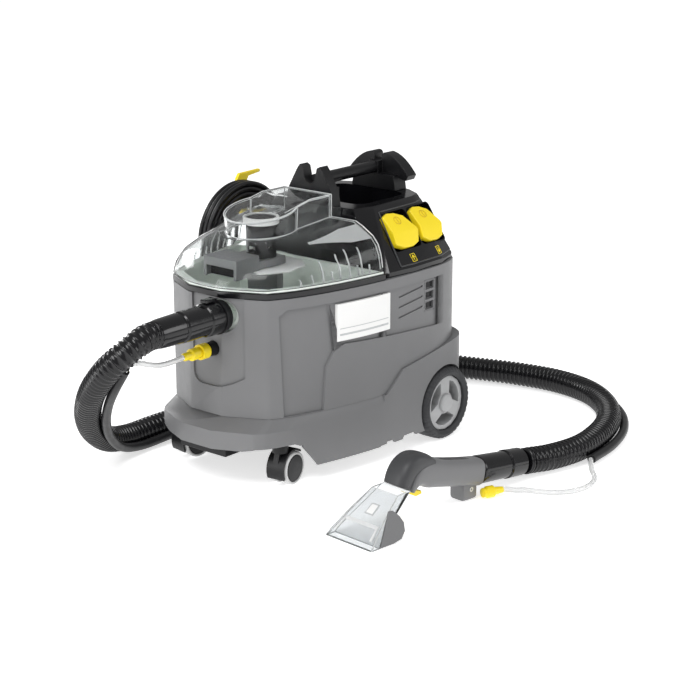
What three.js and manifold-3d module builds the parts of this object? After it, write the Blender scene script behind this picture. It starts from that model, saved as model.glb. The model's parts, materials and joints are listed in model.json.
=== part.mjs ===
// Spot extractor: a wheeled spray-extraction cleaner with its suction hose and hand tool.
// Millimetres. +Z is up and the floor is z = 0. The machine faces -X, where its hose plugs in.
// -Y is its near side, with the switches and the name plate, and +Y its far side, with the mains cable.
// The hand tool lies on the floor beside the near side.
import * as THREE from 'three';
import { mergeVertices } from 'three/addons/utils/BufferGeometryUtils.js';
import Module from 'manifold-3d';

const wasm = await Module();
wasm.setup();

// ---------- driving dimensions ----------

const GAP = 0.3;                   // clearance between pieces that touch
const WALL = 4;                    // moulded wall thickness

const AXLE_X = 195;                // rear wheels
const WHEEL_RADIUS = 58.2;
const WHEEL_WIDTH = 44;
const WHEEL_OUTER_Y = 164;
const CASTER_X = -128;             // swivel stems
const CASTER_Y = 98;
const CASTER_TRAIL = 14;
const CASTER_RADIUS = 25.2;
const CASTER_SWIVEL = THREE.MathUtils.degToRad(8);

const SKIRT_BOTTOM_Z = 62;         // front band of the chassis
const BAND_TOP_Z = 90;
const FOOT_Z = 106;                // where the body stands on the chassis
const DECK_FRONT = { x: 88, z: 139 };
const DECK_REAR = { x: 262, z: 165 };
const RIM_Z = 284;                 // top edge of the body
const LID_REAR_X = 49;             // where the clear lid ends
const CONSOLE_FRONT_X = 54;
const CONSOLE_TOP_Z = 380;

const TURRET = { x: -56, radius: 55, top: 390, slope: 0.2 };
const BAR_Z = 417;                 // axis of the carrying bar
const PORT = { y: -28, z: 257, radius: 22 };
const SPRAY_PORT = { y: -14, z: 206 };
const HOSE_DIAMETER = 40;
const STRIP_DIAMETER = 14;
const TUBE_DIAMETER = 8;
const CABLE_DIAMETER = 8;

const SWITCHES = [{ x: 130, along: 62 }, { x: 193, along: 55 }];
const SWITCH_UP = 60;

const HANK = { x: 85, y: 172, top: 388, bottom: 150, width: 180, ring: 42, depth: 26 };
const UPPER_HOOK = { x: 95, z: 337 };

const TOOL = { x: -235, y: -318, yaw: -0.09 };   // middle of the mouth, and the tool's heading

// ---------- materials ----------

function material(color, roughness = 0.5, metalness = 0, opacity = 1) {
  return new THREE.MeshStandardMaterial({ color, roughness, metalness, opacity, transparent: opacity < 1 });
}

const GREY = material(0x77787a, 0.6);
const BLACK = material(0x17181a, 0.4);
const RUBBER = material(0x2a2b2d, 0.8);
const YELLOW = material(0xf6c60a, 0.4);
const CLEAR = material(0xdfe6e8, 0.08, 0, 0.3);
const PALE = material(0xdfe8df, 0.3, 0, 0.6);
const WHITE = material(0xe9e9e6, 0.45);
const LIGHT_GREY = material(0xb4b6b8, 0.5);
const STEEL = material(0xa9adb0, 0.3, 1);

// ---------- geometry helpers ----------

const root = new THREE.Group();

function add(name, geometry, finish) {
  const mesh = new THREE.Mesh(geometry, finish);
  mesh.name = name;
  root.add(mesh);
  return mesh;
}

function toSolid(geometry) {
  const bare = geometry.clone();
  bare.deleteAttribute('normal');
  bare.deleteAttribute('uv');
  const merged = mergeVertices(bare, 1e-3);
  return new wasm.Manifold(new wasm.Mesh({
    numProp: 3,
    vertProperties: new Float32Array(merged.attributes.position.array),
    triVerts: new Uint32Array(merged.index.array),
  }));
}

function toGeometry(solid) {
  const mesh = solid.getMesh();
  const geometry = new THREE.BufferGeometry();
  geometry.setAttribute('position', new THREE.BufferAttribute(mesh.vertProperties, 3));
  geometry.setIndex(new THREE.BufferAttribute(mesh.triVerts, 1));
  return geometry;
}

function join(first, ...others) {
  return toGeometry(others.reduce((sum, next) => sum.add(toSolid(next)), toSolid(first)));
}

function cut(first, ...others) {
  return toGeometry(others.reduce((rest, next) => rest.subtract(toSolid(next)), toSolid(first)));
}

function common(first, second) {
  return toGeometry(toSolid(first).intersect(toSolid(second)));
}

function box(x0, x1, y0, y1, z0, z1) {
  const geometry = new THREE.BoxGeometry(x1 - x0, y1 - y0, z1 - z0);
  return geometry.translate((x0 + x1) / 2, (y0 + y1) / 2, (z0 + z1) / 2);
}

// A shape drawn in plan (x, y), raised between two heights.
function raise(shape, z0, z1, curveSegments = 6) {
  const settings = { depth: z1 - z0, bevelEnabled: false, curveSegments };
  return new THREE.ExtrudeGeometry(shape, settings).translate(0, 0, z0);
}

// A shape drawn in side view (x, z), spread between two y values.
function spread(shape, y0, y1, curveSegments = 6) {
  const settings = { depth: y1 - y0, bevelEnabled: false, curveSegments };
  return new THREE.ExtrudeGeometry(shape, settings).rotateX(Math.PI / 2).translate(0, y1, 0);
}

// A shape drawn in front view (y, z), pulled between two x values.
function pull(shape, x0, x1, curveSegments = 6) {
  const settings = { depth: x1 - x0, bevelEnabled: false, curveSegments };
  const turn = new THREE.Matrix4().makeBasis(
    new THREE.Vector3(0, 1, 0), new THREE.Vector3(0, 0, 1), new THREE.Vector3(1, 0, 0));
  return new THREE.ExtrudeGeometry(shape, settings).applyMatrix4(turn).translate(x0, 0, 0);
}

function polygon(points) {
  return new THREE.Shape(points.map(([x, y]) => new THREE.Vector2(x, y)));
}

function roundedBox(width, height, radius) {
  const shape = new THREE.Shape();
  const x = width / 2;
  const y = height / 2;
  shape.moveTo(-x + radius, -y);
  shape.lineTo(x - radius, -y);
  shape.absarc(x - radius, -y + radius, radius, -Math.PI / 2, 0);
  shape.lineTo(x, y - radius);
  shape.absarc(x - radius, y - radius, radius, 0, Math.PI / 2);
  shape.lineTo(-x + radius, y);
  shape.absarc(-x + radius, y - radius, radius, Math.PI / 2, Math.PI);
  shape.lineTo(-x, -y + radius);
  shape.absarc(-x + radius, -y + radius, radius, Math.PI, 1.5 * Math.PI);
  return shape;
}

// Turned solid about +Z; the profile is [radius, z] from the axis round to the axis, going up outside.
function turned(profile, segments = 32) {
  return new THREE.LatheGeometry(profile.map(([r, z]) => new THREE.Vector2(r, z)), segments)
    .rotateX(Math.PI / 2);
}

function disc(radius, z0, z1, segments = 32) {
  return turned([[0, z0], [radius, z0], [radius, z1], [0, z1]], segments);
}

function ring(inner, outer, z0, z1, segments = 32) {
  return turned([[inner, z0], [outer, z0], [outer, z1], [inner, z1], [inner, z0]], segments);
}

// Points a solid made along +Z at another direction, from a start point.
function aim(geometry, start, direction) {
  const turn = new THREE.Quaternion().setFromUnitVectors(
    new THREE.Vector3(0, 0, 1), new THREE.Vector3(...direction).normalize());
  return geometry.applyQuaternion(turn).translate(...start);
}

// The same solid on the other side of the machine's middle plane.
function mirrored(geometry) {
  const copy = geometry.clone().scale(1, -1, 1);
  const position = copy.attributes.position;
  for (let i = 0; i < position.count; i += 3) {
    const first = new THREE.Vector3().fromBufferAttribute(position, i);
    const second = new THREE.Vector3().fromBufferAttribute(position, i + 1);
    position.setXYZ(i, ...second);
    position.setXYZ(i + 1, ...first);
  }
  return copy;
}

const alongX = (geometry) => geometry.rotateY(Math.PI / 2);
const alongY = (geometry) => geometry.rotateX(-Math.PI / 2);

// Closed solid through rings of equally many points, all ordered anticlockwise seen from above.
function loft(rings) {
  const count = rings[0].length;
  const positions = [];
  const indices = [];
  rings.forEach((points) => points.forEach((p) => positions.push(p.x, p.y, p.z)));
  for (let level = 0; level < rings.length - 1; level += 1) {
    for (let i = 0; i < count; i += 1) {
      const a = level * count + i;
      const b = level * count + (i + 1) % count;
      indices.push(a, b, b + count, a, b + count, a + count);
    }
  }
  const flat = rings[0].map((p) => new THREE.Vector2(p.x, p.y));
  THREE.ShapeUtils.triangulateShape(flat, []).forEach(([a, b, c]) => indices.push(c, b, a));
  const last = (rings.length - 1) * count;
  const lid = rings[rings.length - 1].map((p) => new THREE.Vector2(p.x, p.y));
  THREE.ShapeUtils.triangulateShape(lid, []).forEach(([a, b, c]) => {
    indices.push(last + a, last + b, last + c);
  });
  const geometry = new THREE.BufferGeometry();
  geometry.setAttribute('position', new THREE.Float32BufferAttribute(positions, 3));
  geometry.setIndex(indices);
  return geometry;
}

// Round tube along a smooth curve through hand-placed points.
function tube(points, diameter, sides, steps) {
  const curve = new THREE.CatmullRomCurve3(points.map((p) => new THREE.Vector3(...p)), false, 'centripetal');
  const section = new THREE.Shape();
  for (let i = 0; i < sides; i += 1) {
    const angle = (i / sides) * 2 * Math.PI;
    const method = i === 0 ? 'moveTo' : 'lineTo';
    section[method](Math.cos(angle) * diameter / 2, Math.sin(angle) * diameter / 2);
  }
  return new THREE.ExtrudeGeometry(section, { extrudePath: curve, steps, bevelEnabled: false });
}

// ---------- outlines in plan ----------

// The far half of a symmetric outline: its front middle and corner points, then its side to the rear.
const BODY_HALF = {
  front: -184,
  corner: [-149, 95],
  side: [[-108, 116], [-40, 136], [45, 150], [120, 155], [190, 154], [235, 138], [254, 100], [260, 50]],
};
const SKIRT_HALF = {
  front: -207,
  corner: [-178, 91],
  side: [[-158, 106], [-107, 124], [-33, 142], [45, 154], [120, 158], [195, 158], [240, 150], [259, 112],
    [263, 50]],
};

// Outline points, anticlockwise from the near front corner, moved inwards by the given inset.
function outline(half, inset = 0) {
  const [cornerX, cornerY] = half.corner;
  const shape = new THREE.Shape();
  const side = half.side.map(([x, y]) => new THREE.Vector2(x, y));
  const nearSide = side.map((p) => new THREE.Vector2(p.x, -p.y));
  shape.moveTo(cornerX, -cornerY);
  shape.splineThru(nearSide);
  shape.lineTo(side[side.length - 1].x, side[side.length - 1].y);
  shape.splineThru([...side.slice(0, -1).reverse(), new THREE.Vector2(cornerX, cornerY)]);
  shape.quadraticCurveTo(2 * half.front - cornerX, 0, cornerX, -cornerY);
  const points = shape.getPoints(3).slice(0, -1);
  const distinct = points.filter((p, i) => p.distanceTo(points[(i + 1) % points.length]) > 0.5);
  return distinct.map((p, i) => {
    const before = distinct[(i + distinct.length - 1) % distinct.length];
    const after = distinct[(i + 1) % distinct.length];
    const tangent = after.clone().sub(before).normalize();
    return new THREE.Vector2(p.x - tangent.y * inset, p.y + tangent.x * inset);
  });
}

const plan = (half, inset = 0) => new THREE.Shape(outline(half, inset));
const level = (points, z) => points.map((p) => new THREE.Vector3(p.x, p.y, z));

// ---------- chassis ----------

// Everything above the line where the chassis ends and the body begins, seen from the side.
function aboveChassis(lift) {
  const far = 400;
  return spread(polygon([
    [-far, FOOT_Z + lift], [52, FOOT_Z + lift], [DECK_FRONT.x, DECK_FRONT.z + lift],
    [DECK_REAR.x + 20, DECK_REAR.z + 3 + lift], [DECK_REAR.x + 20, far], [-far, far],
  ]), -far, far);
}

function makeChassis() {
  const band = raise(plan(SKIRT_HALF), 26, BAND_TOP_Z);
  const skirtPoints = outline(SKIRT_HALF);
  const bodyPoints = outline(BODY_HALF, 1);
  const shoulder = skirtPoints.map((p) => {
    const nearest = bodyPoints.reduce((a, b) => (a.distanceTo(p) < b.distanceTo(p) ? a : b));
    return new THREE.Vector2(nearest.x, nearest.y);
  }).map((p, i) => (skirtPoints[i].x > 40 ? skirtPoints[i] : p));
  const slope = loft([level(skirtPoints, BAND_TOP_Z - 1), level(skirtPoints, BAND_TOP_Z),
    level(shoulder, FOOT_Z)]);
  const deck = common(raise(plan(SKIRT_HALF), 60, 200), box(46, 300, -200, 200, 60, 200));
  const outer = cut(join(band, slope, deck), aboveChassis(0));
  const inner = common(raise(plan(SKIRT_HALF, WALL), 20, BAND_TOP_Z - WALL),
    box(-300, 128, -200, 200, 0, 200));
  const middle = box(100, 250, -108, 108, 20, DECK_FRONT.z - 6);
  const frontUnderside = box(-300, -106, -200, 200, 0, SKIRT_BOTTOM_Z);
  const casterArch = spread(polygon([[-190, 10], [-77, 10], [-82, 28], [-94, 44], [-107, 60], [-120, 66],
    [-175, 66], [-190, 60]]),
    -200, 200);
  const rearUnderside = box(250, 300, -200, 200, 0, 70);
  const wells = [-1, 1].map((side) => {
    const well = alongY(disc(WHEEL_RADIUS + 4, 0, 80, 48));
    return well.translate(AXLE_X, side > 0 ? 114 : -194, WHEEL_RADIUS);
  });
  const axleBore = alongY(disc(9, -150, 150, 16)).translate(AXLE_X, 0, WHEEL_RADIUS);
  const portSlot = box(-40, 40, -70, 70, BAND_TOP_Z - 10, 200);
  return cut(outer, inner, middle, frontUnderside, casterArch, rearUnderside, ...wells,
    axleBore, portSlot);
}

function makeBasePan() {
  const tongue = polygon([[-190, -46], [-84, -46], [-70, -96], [96, -102], [96, 102], [-70, 96], [-84, 46],
    [-190, 46]]);
  const pads = [-1, 1].map((side) => disc(13, SKIRT_BOTTOM_Z + 1, BAND_TOP_Z - WALL - GAP, 24)
    .translate(CASTER_X, side * CASTER_Y, 0));
  const arms = [-1, 1].map((side) => box(CASTER_X - 16, -60, side * 60 - 36, side * 60 + 36,
    SKIRT_BOTTOM_Z + 1, SKIRT_BOTTOM_Z + 6));
  const plate = raise(tongue, 48, SKIRT_BOTTOM_Z + 6);
  const bores = [-1, 1].map((side) => disc(6, 40, 200, 16).translate(CASTER_X, side * CASTER_Y, 0));
  return cut(join(plate, ...arms, ...pads), ...bores);
}

add('chassis', makeChassis(), GREY);
add('base_pan', makeBasePan(), BLACK);

// ---------- body shell ----------

const SIDE_RECESS = [[-134, 107], [-134, 259], [-123, 268], [190, 268], [190, 190], [-30, 202],
  [-48, 194], [-61, 173], [-66, 107]];
const RECESS_DEPTH = 3.5;

function makeBodyShell() {
  const outer = raise(plan(BODY_HALF), FOOT_Z - 5, RIM_Z);
  const skin = cut(outer, raise(plan(BODY_HALF, RECESS_DEPTH), 0, 400));
  const sidePanels = common(skin, spread(polygon(SIDE_RECESS), -200, 200));
  const frontPanel = new THREE.Shape();
  frontPanel.moveTo(24, RIM_Z + 5);
  frontPanel.lineTo(24, 166);
  frontPanel.quadraticCurveTo(22, 150, 6, 149);
  frontPanel.lineTo(-16, 149);
  frontPanel.quadraticCurveTo(-40, 150, -64, 166);
  frontPanel.lineTo(-64, RIM_Z + 5);
  const front = common(skin, pull(frontPanel, -200, -160));
  const frontTank = common(raise(plan(BODY_HALF, WALL + RECESS_DEPTH), FOOT_Z + WALL, 400),
    box(-300, 52, -200, 200, 0, 400));
  const motorBay = common(raise(plan(BODY_HALF, WALL + RECESS_DEPTH), DECK_REAR.z + 8, 400),
    box(56, 300, -200, 200, 0, 400));
  const portHole = alongX(disc(PORT.radius + 4, -60, 0)).translate(-150, PORT.y, PORT.z);
  const sprayHole = alongX(disc(11.4, -60, 0, 20)).translate(-150, SPRAY_PORT.y, SPRAY_PORT.z);
  const grooveSkin = cut(outer, raise(plan(BODY_HALF, RECESS_DEPTH + 2), 0, 400));
  const grooves = [217, 233, 249].map((z) => common(grooveSkin, spread(polygon([
    [84, z + 1], [140, z + 8], [140, z + 11], [84, z + 4]]), -200, 0)));
  const grilleWindow = box(144, 170, -160, -120, 217, 266);
  return cut(cut(outer, bodyFoot()), sidePanels, front, frontTank, motorBay, portHole, sprayHole,
    ...grooves, grilleWindow);
}

// Everything under the body's foot line, which keeps the usual gap above the chassis.
function bodyFoot() {
  return cut(box(-400, 400, -300, 300, 0, 390), aboveChassis(GAP));
}

add('body_shell', makeBodyShell(), GREY);

function makeVentGrille() {
  const frame = box(144 + GAP, 170 - GAP, -152.5, -146, 217 + GAP, 266 - GAP);
  const slots = [219, 235, 251].map((z) => box(147, 167, -160, -148.5, z, z + 12));
  return cut(frame, ...slots);
}
add('vent_grille', makeVentGrille(), BLACK);

function makeNamePlate() {
  const plate = spread(polygon([[-43, 208], [60, 208], [60, 264], [-43, 264]]), -170, -120);
  const shelf = cut(raise(plan(BODY_HALF, RECESS_DEPTH - GAP - 1.6), 150, 280),
    raise(plan(BODY_HALF, RECESS_DEPTH - GAP), 140, 290));
  return common(plate, shelf);
}
add('name_plate', makeNamePlate(), WHITE);

function makeRimSeal() {
  const hole = common(raise(plan(BODY_HALF, 9), 200, 400),
    box(-300, CONSOLE_FRONT_X - 9, -200, 200, 0, 400));
  const slab = common(raise(plan(BODY_HALF, 0.5), RIM_Z + GAP, RIM_Z + 10),
    box(-300, CONSOLE_FRONT_X - 1, -200, 200, 0, 400));
  return cut(slab, hole);
}
add('rim_seal', makeRimSeal(), RUBBER);

// ---------- rear console and handle ----------

const CONSOLE_BASE = [[120, 152], [190, 151], [234, 136], [253, 99], [258, 50]];
const CONSOLE_TOP = [[150, 90], [195, 89], [220, 80], [236, 52], [241, 30]];

// Console outline at a height fraction between its foot (0) and its top edge (1).
function consoleOutline(t, inset = 0) {
  const mixed = (a, b) => a + (b - a) * t;
  const far = CONSOLE_BASE.map(([x, y], i) => new THREE.Vector2(
    mixed(x, CONSOLE_TOP[i][0]) - (i > 2 ? inset : 0), mixed(y, CONSOLE_TOP[i][1]) - inset));
  const frontFar = new THREE.Vector2(mixed(66, 96) + inset, mixed(146, 91) - inset);
  const frontMiddle = new THREE.Vector2(mixed(CONSOLE_FRONT_X, 62) + inset, mixed(128, 80) - inset);
  const half = [frontMiddle, frontFar, ...far];
  const near = half.map((p) => new THREE.Vector2(p.x, -p.y));
  return [...near, ...half.slice().reverse()];
}

const consoleLevel = (t, z, inset = 0) => level(consoleOutline(t, inset), z);
const consoleFraction = (z) => (z - RIM_Z - 8) / (CONSOLE_TOP_Z - RIM_Z - 8);

// Turns a piece made on the switch plane (x along, y up the slope, z outwards) into place.
const SWITCH_TILT = Math.atan2(90, 62);
function onSlope(geometry, x) {
  return geometry.rotateX(SWITCH_TILT).translate(x, -115.5, 342);
}

function makeConsole() {
  const top = CONSOLE_TOP_Z;
  const outer = loft([consoleLevel(0, RIM_Z + GAP), consoleLevel(0, RIM_Z + 8), consoleLevel(1, top - 3),
    consoleLevel(1.05, top)]);
  const hollowTop = 336;
  const hollow = loft([consoleLevel(0, RIM_Z - 10, WALL), consoleLevel(0, RIM_Z + 8, WALL),
    consoleLevel(consoleFraction(hollowTop), hollowTop, WALL)]);
  const tray = raise(roundedBox(116, 136, 22), 346, 420, 4).translate(150, 0, 0);
  const hookBoss = alongY(disc(12, 90, 127.7, 24)).translate(UPPER_HOOK.x, 0, UPPER_HOOK.z);
  const housings = SWITCHES.map(({ x, along }) => onSlope(raise(roundedBox(along + 4,
    SWITCH_UP + 8, 6), -21, -1, 2), x));
  const pockets = SWITCHES.map(({ x, along }) => onSlope(raise(roundedBox(along + 2.4,
    SWITCH_UP + 4, 7), -17, 20, 2), x));
  const seat = cut(cut(outer, hollow), tray);
  return cut(join(seat, hookBoss, ...housings), ...pockets);
}
add('console', makeConsole(), BLACK);

// A shield outline with its upper rear corner cut back, and two faces that meet in a ridge.
const ROCKER_OUTLINE = [[-0.48, -0.36], [-0.2, -0.49], [0.16, -0.5], [0.39, -0.43], [0.5, -0.14],
  [0.26, 0.34], [0, 0.47], [-0.26, 0.5], [-0.46, 0.42]];
function makeRocker(along) {
  const outline2d = polygon(ROCKER_OUTLINE.map(([a, u]) => [a * along, u * SWITCH_UP]));
  const half = SWITCH_UP / 2;
  const side = [[-half, -6], [half, -6], [half, 2.5], [-4, 9], [-half, 3]];
  const faces = pull(polygon(side), -along, along);
  return common(raise(outline2d, -8, 12), faces);
}
const [SPRAY_SWITCH, SUCTION_SWITCH] = SWITCHES;
add('rocker_spray', onSlope(makeRocker(SPRAY_SWITCH.along), SPRAY_SWITCH.x), YELLOW);
add('rocker_suction', onSlope(makeRocker(SUCTION_SWITCH.along), SUCTION_SWITCH.x), YELLOW);
add('switch_block', onSlope(box(-50, 50, -22, 3, -44, -21 - GAP), (SPRAY_SWITCH.x + SUCTION_SWITCH.x) / 2),
  BLACK);

const HORN_FRONT_X = 207;

function makeHandleBar() {
  const fork = new THREE.Shape();
  fork.moveTo(-46, 0);
  fork.lineTo(-42, 22);
  fork.lineTo(-26, 50);
  fork.lineTo(-20, 58);
  fork.lineTo(-14, 55);
  fork.lineTo(-11, 42);
  fork.absarc(0, 42, 11, Math.PI, 2 * Math.PI, false);
  fork.lineTo(14, 55);
  fork.lineTo(20, 58);
  fork.lineTo(26, 50);
  fork.lineTo(42, 22);
  fork.lineTo(46, 0);
  const plate = pull(fork, 54, 72, 8).translate(0, 0, CONSOLE_TOP_Z + GAP);
  const heel = box(70, 88, -30, 30, CONSOLE_TOP_Z + GAP, 404);
  const bar = alongX(disc(9.5, 0, HORN_FRONT_X - GAP - 66, 20)).translate(66, 0, BAR_Z - 3);
  const web = spread(polygon([[70, 396], [96, 404], [120, 410], [70, 420]]), -9, 9);
  return join(plate, heel, bar, web);
}
add('handle_bar', makeHandleBar(), BLACK);

function makeRearHorn() {
  const pillar = pull(polygon([[-44, 0], [44, 0], [40, 24], [-40, 24]]), HORN_FRONT_X, 236)
    .translate(0, 0, CONSOLE_TOP_Z + GAP);
  const wing = new THREE.Shape();
  wing.moveTo(7, 400);
  wing.lineTo(7, 432);
  wing.quadraticCurveTo(9, 437, 16, 436);
  wing.quadraticCurveTo(38, 432, 60, 404);
  wing.lineTo(56, 396);
  wing.quadraticCurveTo(44, 397, 38, 400);
  const near = pull(wing, 219, 241);
  const bridge = box(207, 238, -9, 9, 400, 424);
  return join(pillar, near, mirrored(near), bridge);
}
add('rear_horn', makeRearHorn(), BLACK);

// ---------- clear lid ----------

// Plan outlines of the lid: its foot, its outer shoulder and the crest beside the turret.
const LID_LEVELS = [
  { front: -181, corner: [-150, 92], side: [[-108, 113], [-40, 133], [LID_REAR_X, 147]] },
  { front: -136, corner: [-108, 80], side: [[-66, 98], [0, 116], [LID_REAR_X, 128]] },
  { front: -118, corner: [-92, 60], side: [[-58, 72], [0, 86], [LID_REAR_X, 95]] },
];
const LID_FOOT_Z = RIM_Z + 13.6;
const LID_WALL = 3;

// Lid outline at a station from 0 (foot) over 1 (shoulder) to 2 (crest), moved inwards by an inset.
function lidOutline(station, inset) {
  const lower = LID_LEVELS[Math.min(Math.floor(station), 1)];
  const upper = LID_LEVELS[Math.min(Math.floor(station), 1) + 1];
  const t = station - Math.min(Math.floor(station), 1);
  const mixed = (a, b) => a + (b - a) * t;
  return outline({
    front: mixed(lower.front, upper.front) + inset,
    corner: [mixed(lower.corner[0], upper.corner[0]) + inset,
      mixed(lower.corner[1], upper.corner[1]) - inset],
    side: lower.side.map(([x, y], i) => [mixed(x, upper.side[i][0]) - (i === 2 ? inset : 0),
      mixed(y, upper.side[i][1]) - inset]),
  });
}

// Each ring of the dome: its station, and its height at the front and at the rear.
const DOME_RINGS = [[0.04, 304, 304], [0.22, 319, 324], [0.5, 331, 338], [1, 341, 349], [1.6, 347, 361],
  [2, 350, 367]];

// Dome, turret and roof box of the lid, all moved inwards by the given inset.
function lidForm(inset) {
  const rings = DOME_RINGS.map(([station, zFront, zRear]) => lidOutline(station, inset).map((p) => {
    const t = (p.x + 181) / (LID_REAR_X + 181);
    return new THREE.Vector3(p.x, p.y, zFront + (zRear - zFront) * t - inset);
  }));
  const foot = level(lidOutline(0, inset), LID_FOOT_Z - (inset > 0 ? 5 : 0));
  const dome = loft([foot, ...rings]);
  const rear = LID_REAR_X - inset;
  const turret = disc(TURRET.radius - inset, 310, TURRET.top + 40, 40).translate(TURRET.x, 0, 0);
  const front = TURRET.x - TURRET.radius;
  const turretSide = spread(polygon([[front - 5, 300], [rear, 300], [rear, 401 - inset],
    [TURRET.x + TURRET.radius, 401 - inset], [front - 5, TURRET.top - 60 * TURRET.slope - inset]]), -60, 60);
  const roof = spread(polygon([[TURRET.x, 310], [rear, 310], [rear, 401 - inset],
    [TURRET.x + TURRET.radius, 401 - inset], [TURRET.x, TURRET.top - inset]]), -47 + inset, 47 - inset);
  return join(dome, common(turret, turretSide), roof);
}
add('container_lid', cut(lidForm(0), lidForm(LID_WALL)), CLEAR);

const POT_TOP_Z = 376;
function makeFloatPot() {
  const cup = turned([[0, 318], [22, 318], [23, POT_TOP_Z], [21, POT_TOP_Z], [19.5, 322], [0, 322]], 24);
  const windows = [0, 1].map((k) => box(-40, 40, -7, 7, 324, 336).rotateZ(k * Math.PI / 2));
  return cut(cup, ...windows).translate(TURRET.x, 0, 0);
}
add('float_pot', makeFloatPot(), BLACK);
const potRing = ring(23.4, 27, POT_TOP_Z - 7, POT_TOP_Z + 2, 28);
add('pot_ring', potRing.translate(TURRET.x, 0, 0), WHITE);
add('float_ball', new THREE.SphereGeometry(14, 14, 9).rotateX(Math.PI / 2)
  .translate(TURRET.x, 0, 322.5 + 14), WHITE);

function makeSuctionDuct() {
  const outer = box(-134, -84, -22, 44, 298, 327);
  const shelf = box(-86, -28, -22, 44, 306, 318 - GAP);
  const riser = box(-44, -30, -18, 40, 193 + GAP, 310);
  const inner = box(-131, -87, -19, 41, 280, 324);
  const mouth = box(-140, -120, -16, 38, 280, 314);
  return cut(join(outer, shelf, riser), inner, mouth);
}
add('suction_duct', makeSuctionDuct(), BLACK);

function makeWasteContainer() {
  const x1 = CONSOLE_FRONT_X - 11;
  const tub = (inset, z0, z1) => common(raise(plan(BODY_HALF, 13 + inset), z0, z1),
    box(-300, x1 - inset, -200, 200, 0, 400));
  const lip = common(raise(plan(BODY_HALF, 3), RIM_Z + 10 + GAP, RIM_Z + 13),
    box(-300, CONSOLE_FRONT_X - 4, -200, 200, 0, 400));
  const hole = alongX(disc(17, -40, 40)).translate(-175, PORT.y, PORT.z);
  return cut(join(tub(0, 190, RIM_Z + 12), lip), tub(3, 193, 400), hole);
}
add('waste_container', makeWasteContainer(), PALE);

// ---------- suction and spray ports ----------

function makeSuctionInlet() {
  const barrel = ring(PORT.radius - 2, PORT.radius + 1, -187, -173, 28);
  const flange = ring(PORT.radius - 2, PORT.radius + 4, -187, -183.5, 28);
  return alongX(join(barrel, flange)).translate(0, PORT.y, PORT.z);
}
add('suction_inlet', makeSuctionInlet(), BLACK);

const CUFF_END_X = -308;
function makeHoseCuff() {
  const outside = [[16, CUFF_END_X], [20, CUFF_END_X], [21.3, -300], [22.2, -264], [20.8, -262],
    [20.8, -260], [23, -258], [22.4, -214], [24.5, -212], [24.5, -188], [19.4, -187.6], [19.4, -176], [16, -176]];
  return alongX(turned([...outside, outside[0]], 28)).translate(0, PORT.y, PORT.z);
}
add('hose_cuff', makeHoseCuff(), BLACK);
add('port_latch', box(-211, -190, PORT.y - 6, PORT.y + 6, PORT.z + 25, PORT.z + 30), BLACK);

function makeSpraySocket() {
  const profile = [[5.4, -190], [10.5, -190], [10.5, -172], [5.4, -172], [5.4, -190]];
  return alongX(turned(profile, 24)).translate(0, SPRAY_PORT.y, SPRAY_PORT.z);
}
add('spray_socket', makeSpraySocket(), BLACK);

function makeSprayCoupling() {
  const profile = [[0, -240], [4.6, -240], [6, -237], [6, -226], [9, -224], [9, -213], [7.4, -212],
    [7.4, -191], [5, -191], [5, -178], [0, -178]];
  return alongX(turned(profile, 24)).translate(0, SPRAY_PORT.y, SPRAY_PORT.z);
}
add('spray_coupling', makeSprayCoupling(), YELLOW);
const collar = alongX(ring(7.8, 11.5, -207, -192.5, 24));
add('coupling_collar', collar.translate(0, SPRAY_PORT.y, SPRAY_PORT.z), YELLOW);

// ---------- hose, spray tube and mains cable ----------

const HOSE_ROUTE = [
  [CUFF_END_X - 4 * GAP, PORT.y, PORT.z], [-322, -28, 256.6], [-340, -27, 251], [-358, -17, 236],
  [-366, 6, 214], [-358, 40, 183], [-336, 80, 146], [-304, 120, 104], [-262, 154, 64], [-215, 176, 34],
  [-165, 186, 22],
  [-110, 187, 22], [-40, 186, 22], [40, 188, 22], [120, 194, 22], [200, 200, 22],
  [278, 191, 22], [345, 158, 22], [401, 108, 22], [443, 48, 22], [470, -22, 22],
  [491, -96, 22], [499, -170, 22], [482, -242, 22], [438, -302, 22], [376, -346, 22],
  [305, -371, 22], [235, -380, 22], [172, -369, 22.6], [136, -356.4, 24.6], [122.3, -354.8, 26],
];
add('suction_hose', tube(HOSE_ROUTE, HOSE_DIAMETER, 8, 56), RUBBER);

// The smooth strip that covers the spray tube, carried round the hose from its inner to its outer side.
function makeStripRoute() {
  const first = 4;
  const last = HOSE_ROUTE.length - 4;
  const offset = (HOSE_DIAMETER + STRIP_DIAMETER) / 2 + 0.8;
  const points = HOSE_ROUTE.map((p) => new THREE.Vector3(...p));
  const route = [];
  for (let i = first; i <= last; i += 1) {
    const tangent = points[i + 1].clone().sub(points[i - 1]).normalize();
    const right = new THREE.Vector3(tangent.y, -tangent.x, 0).normalize();
    const upward = right.clone().cross(tangent);
    const angle = THREE.MathUtils.degToRad(-20 + 225 * THREE.MathUtils.smoothstep(i, 11, 18));
    const beside = points[i].clone().addScaledVector(right, offset * Math.cos(angle))
      .addScaledVector(upward, offset * Math.sin(angle));
    route.push(beside.toArray());
  }
  return route;
}
const STRIP_ROUTE = makeStripRoute();
add('tube_channel', tube(STRIP_ROUTE, STRIP_DIAMETER, 8, 52), RUBBER);

// A tube's end point moved a little along its route, clear of what it meets.
function beyond(from, to, distance) {
  const a = new THREE.Vector3(...from);
  const b = new THREE.Vector3(...to);
  return a.clone().addScaledVector(a.clone().sub(b).normalize(), distance).toArray();
}

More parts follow.
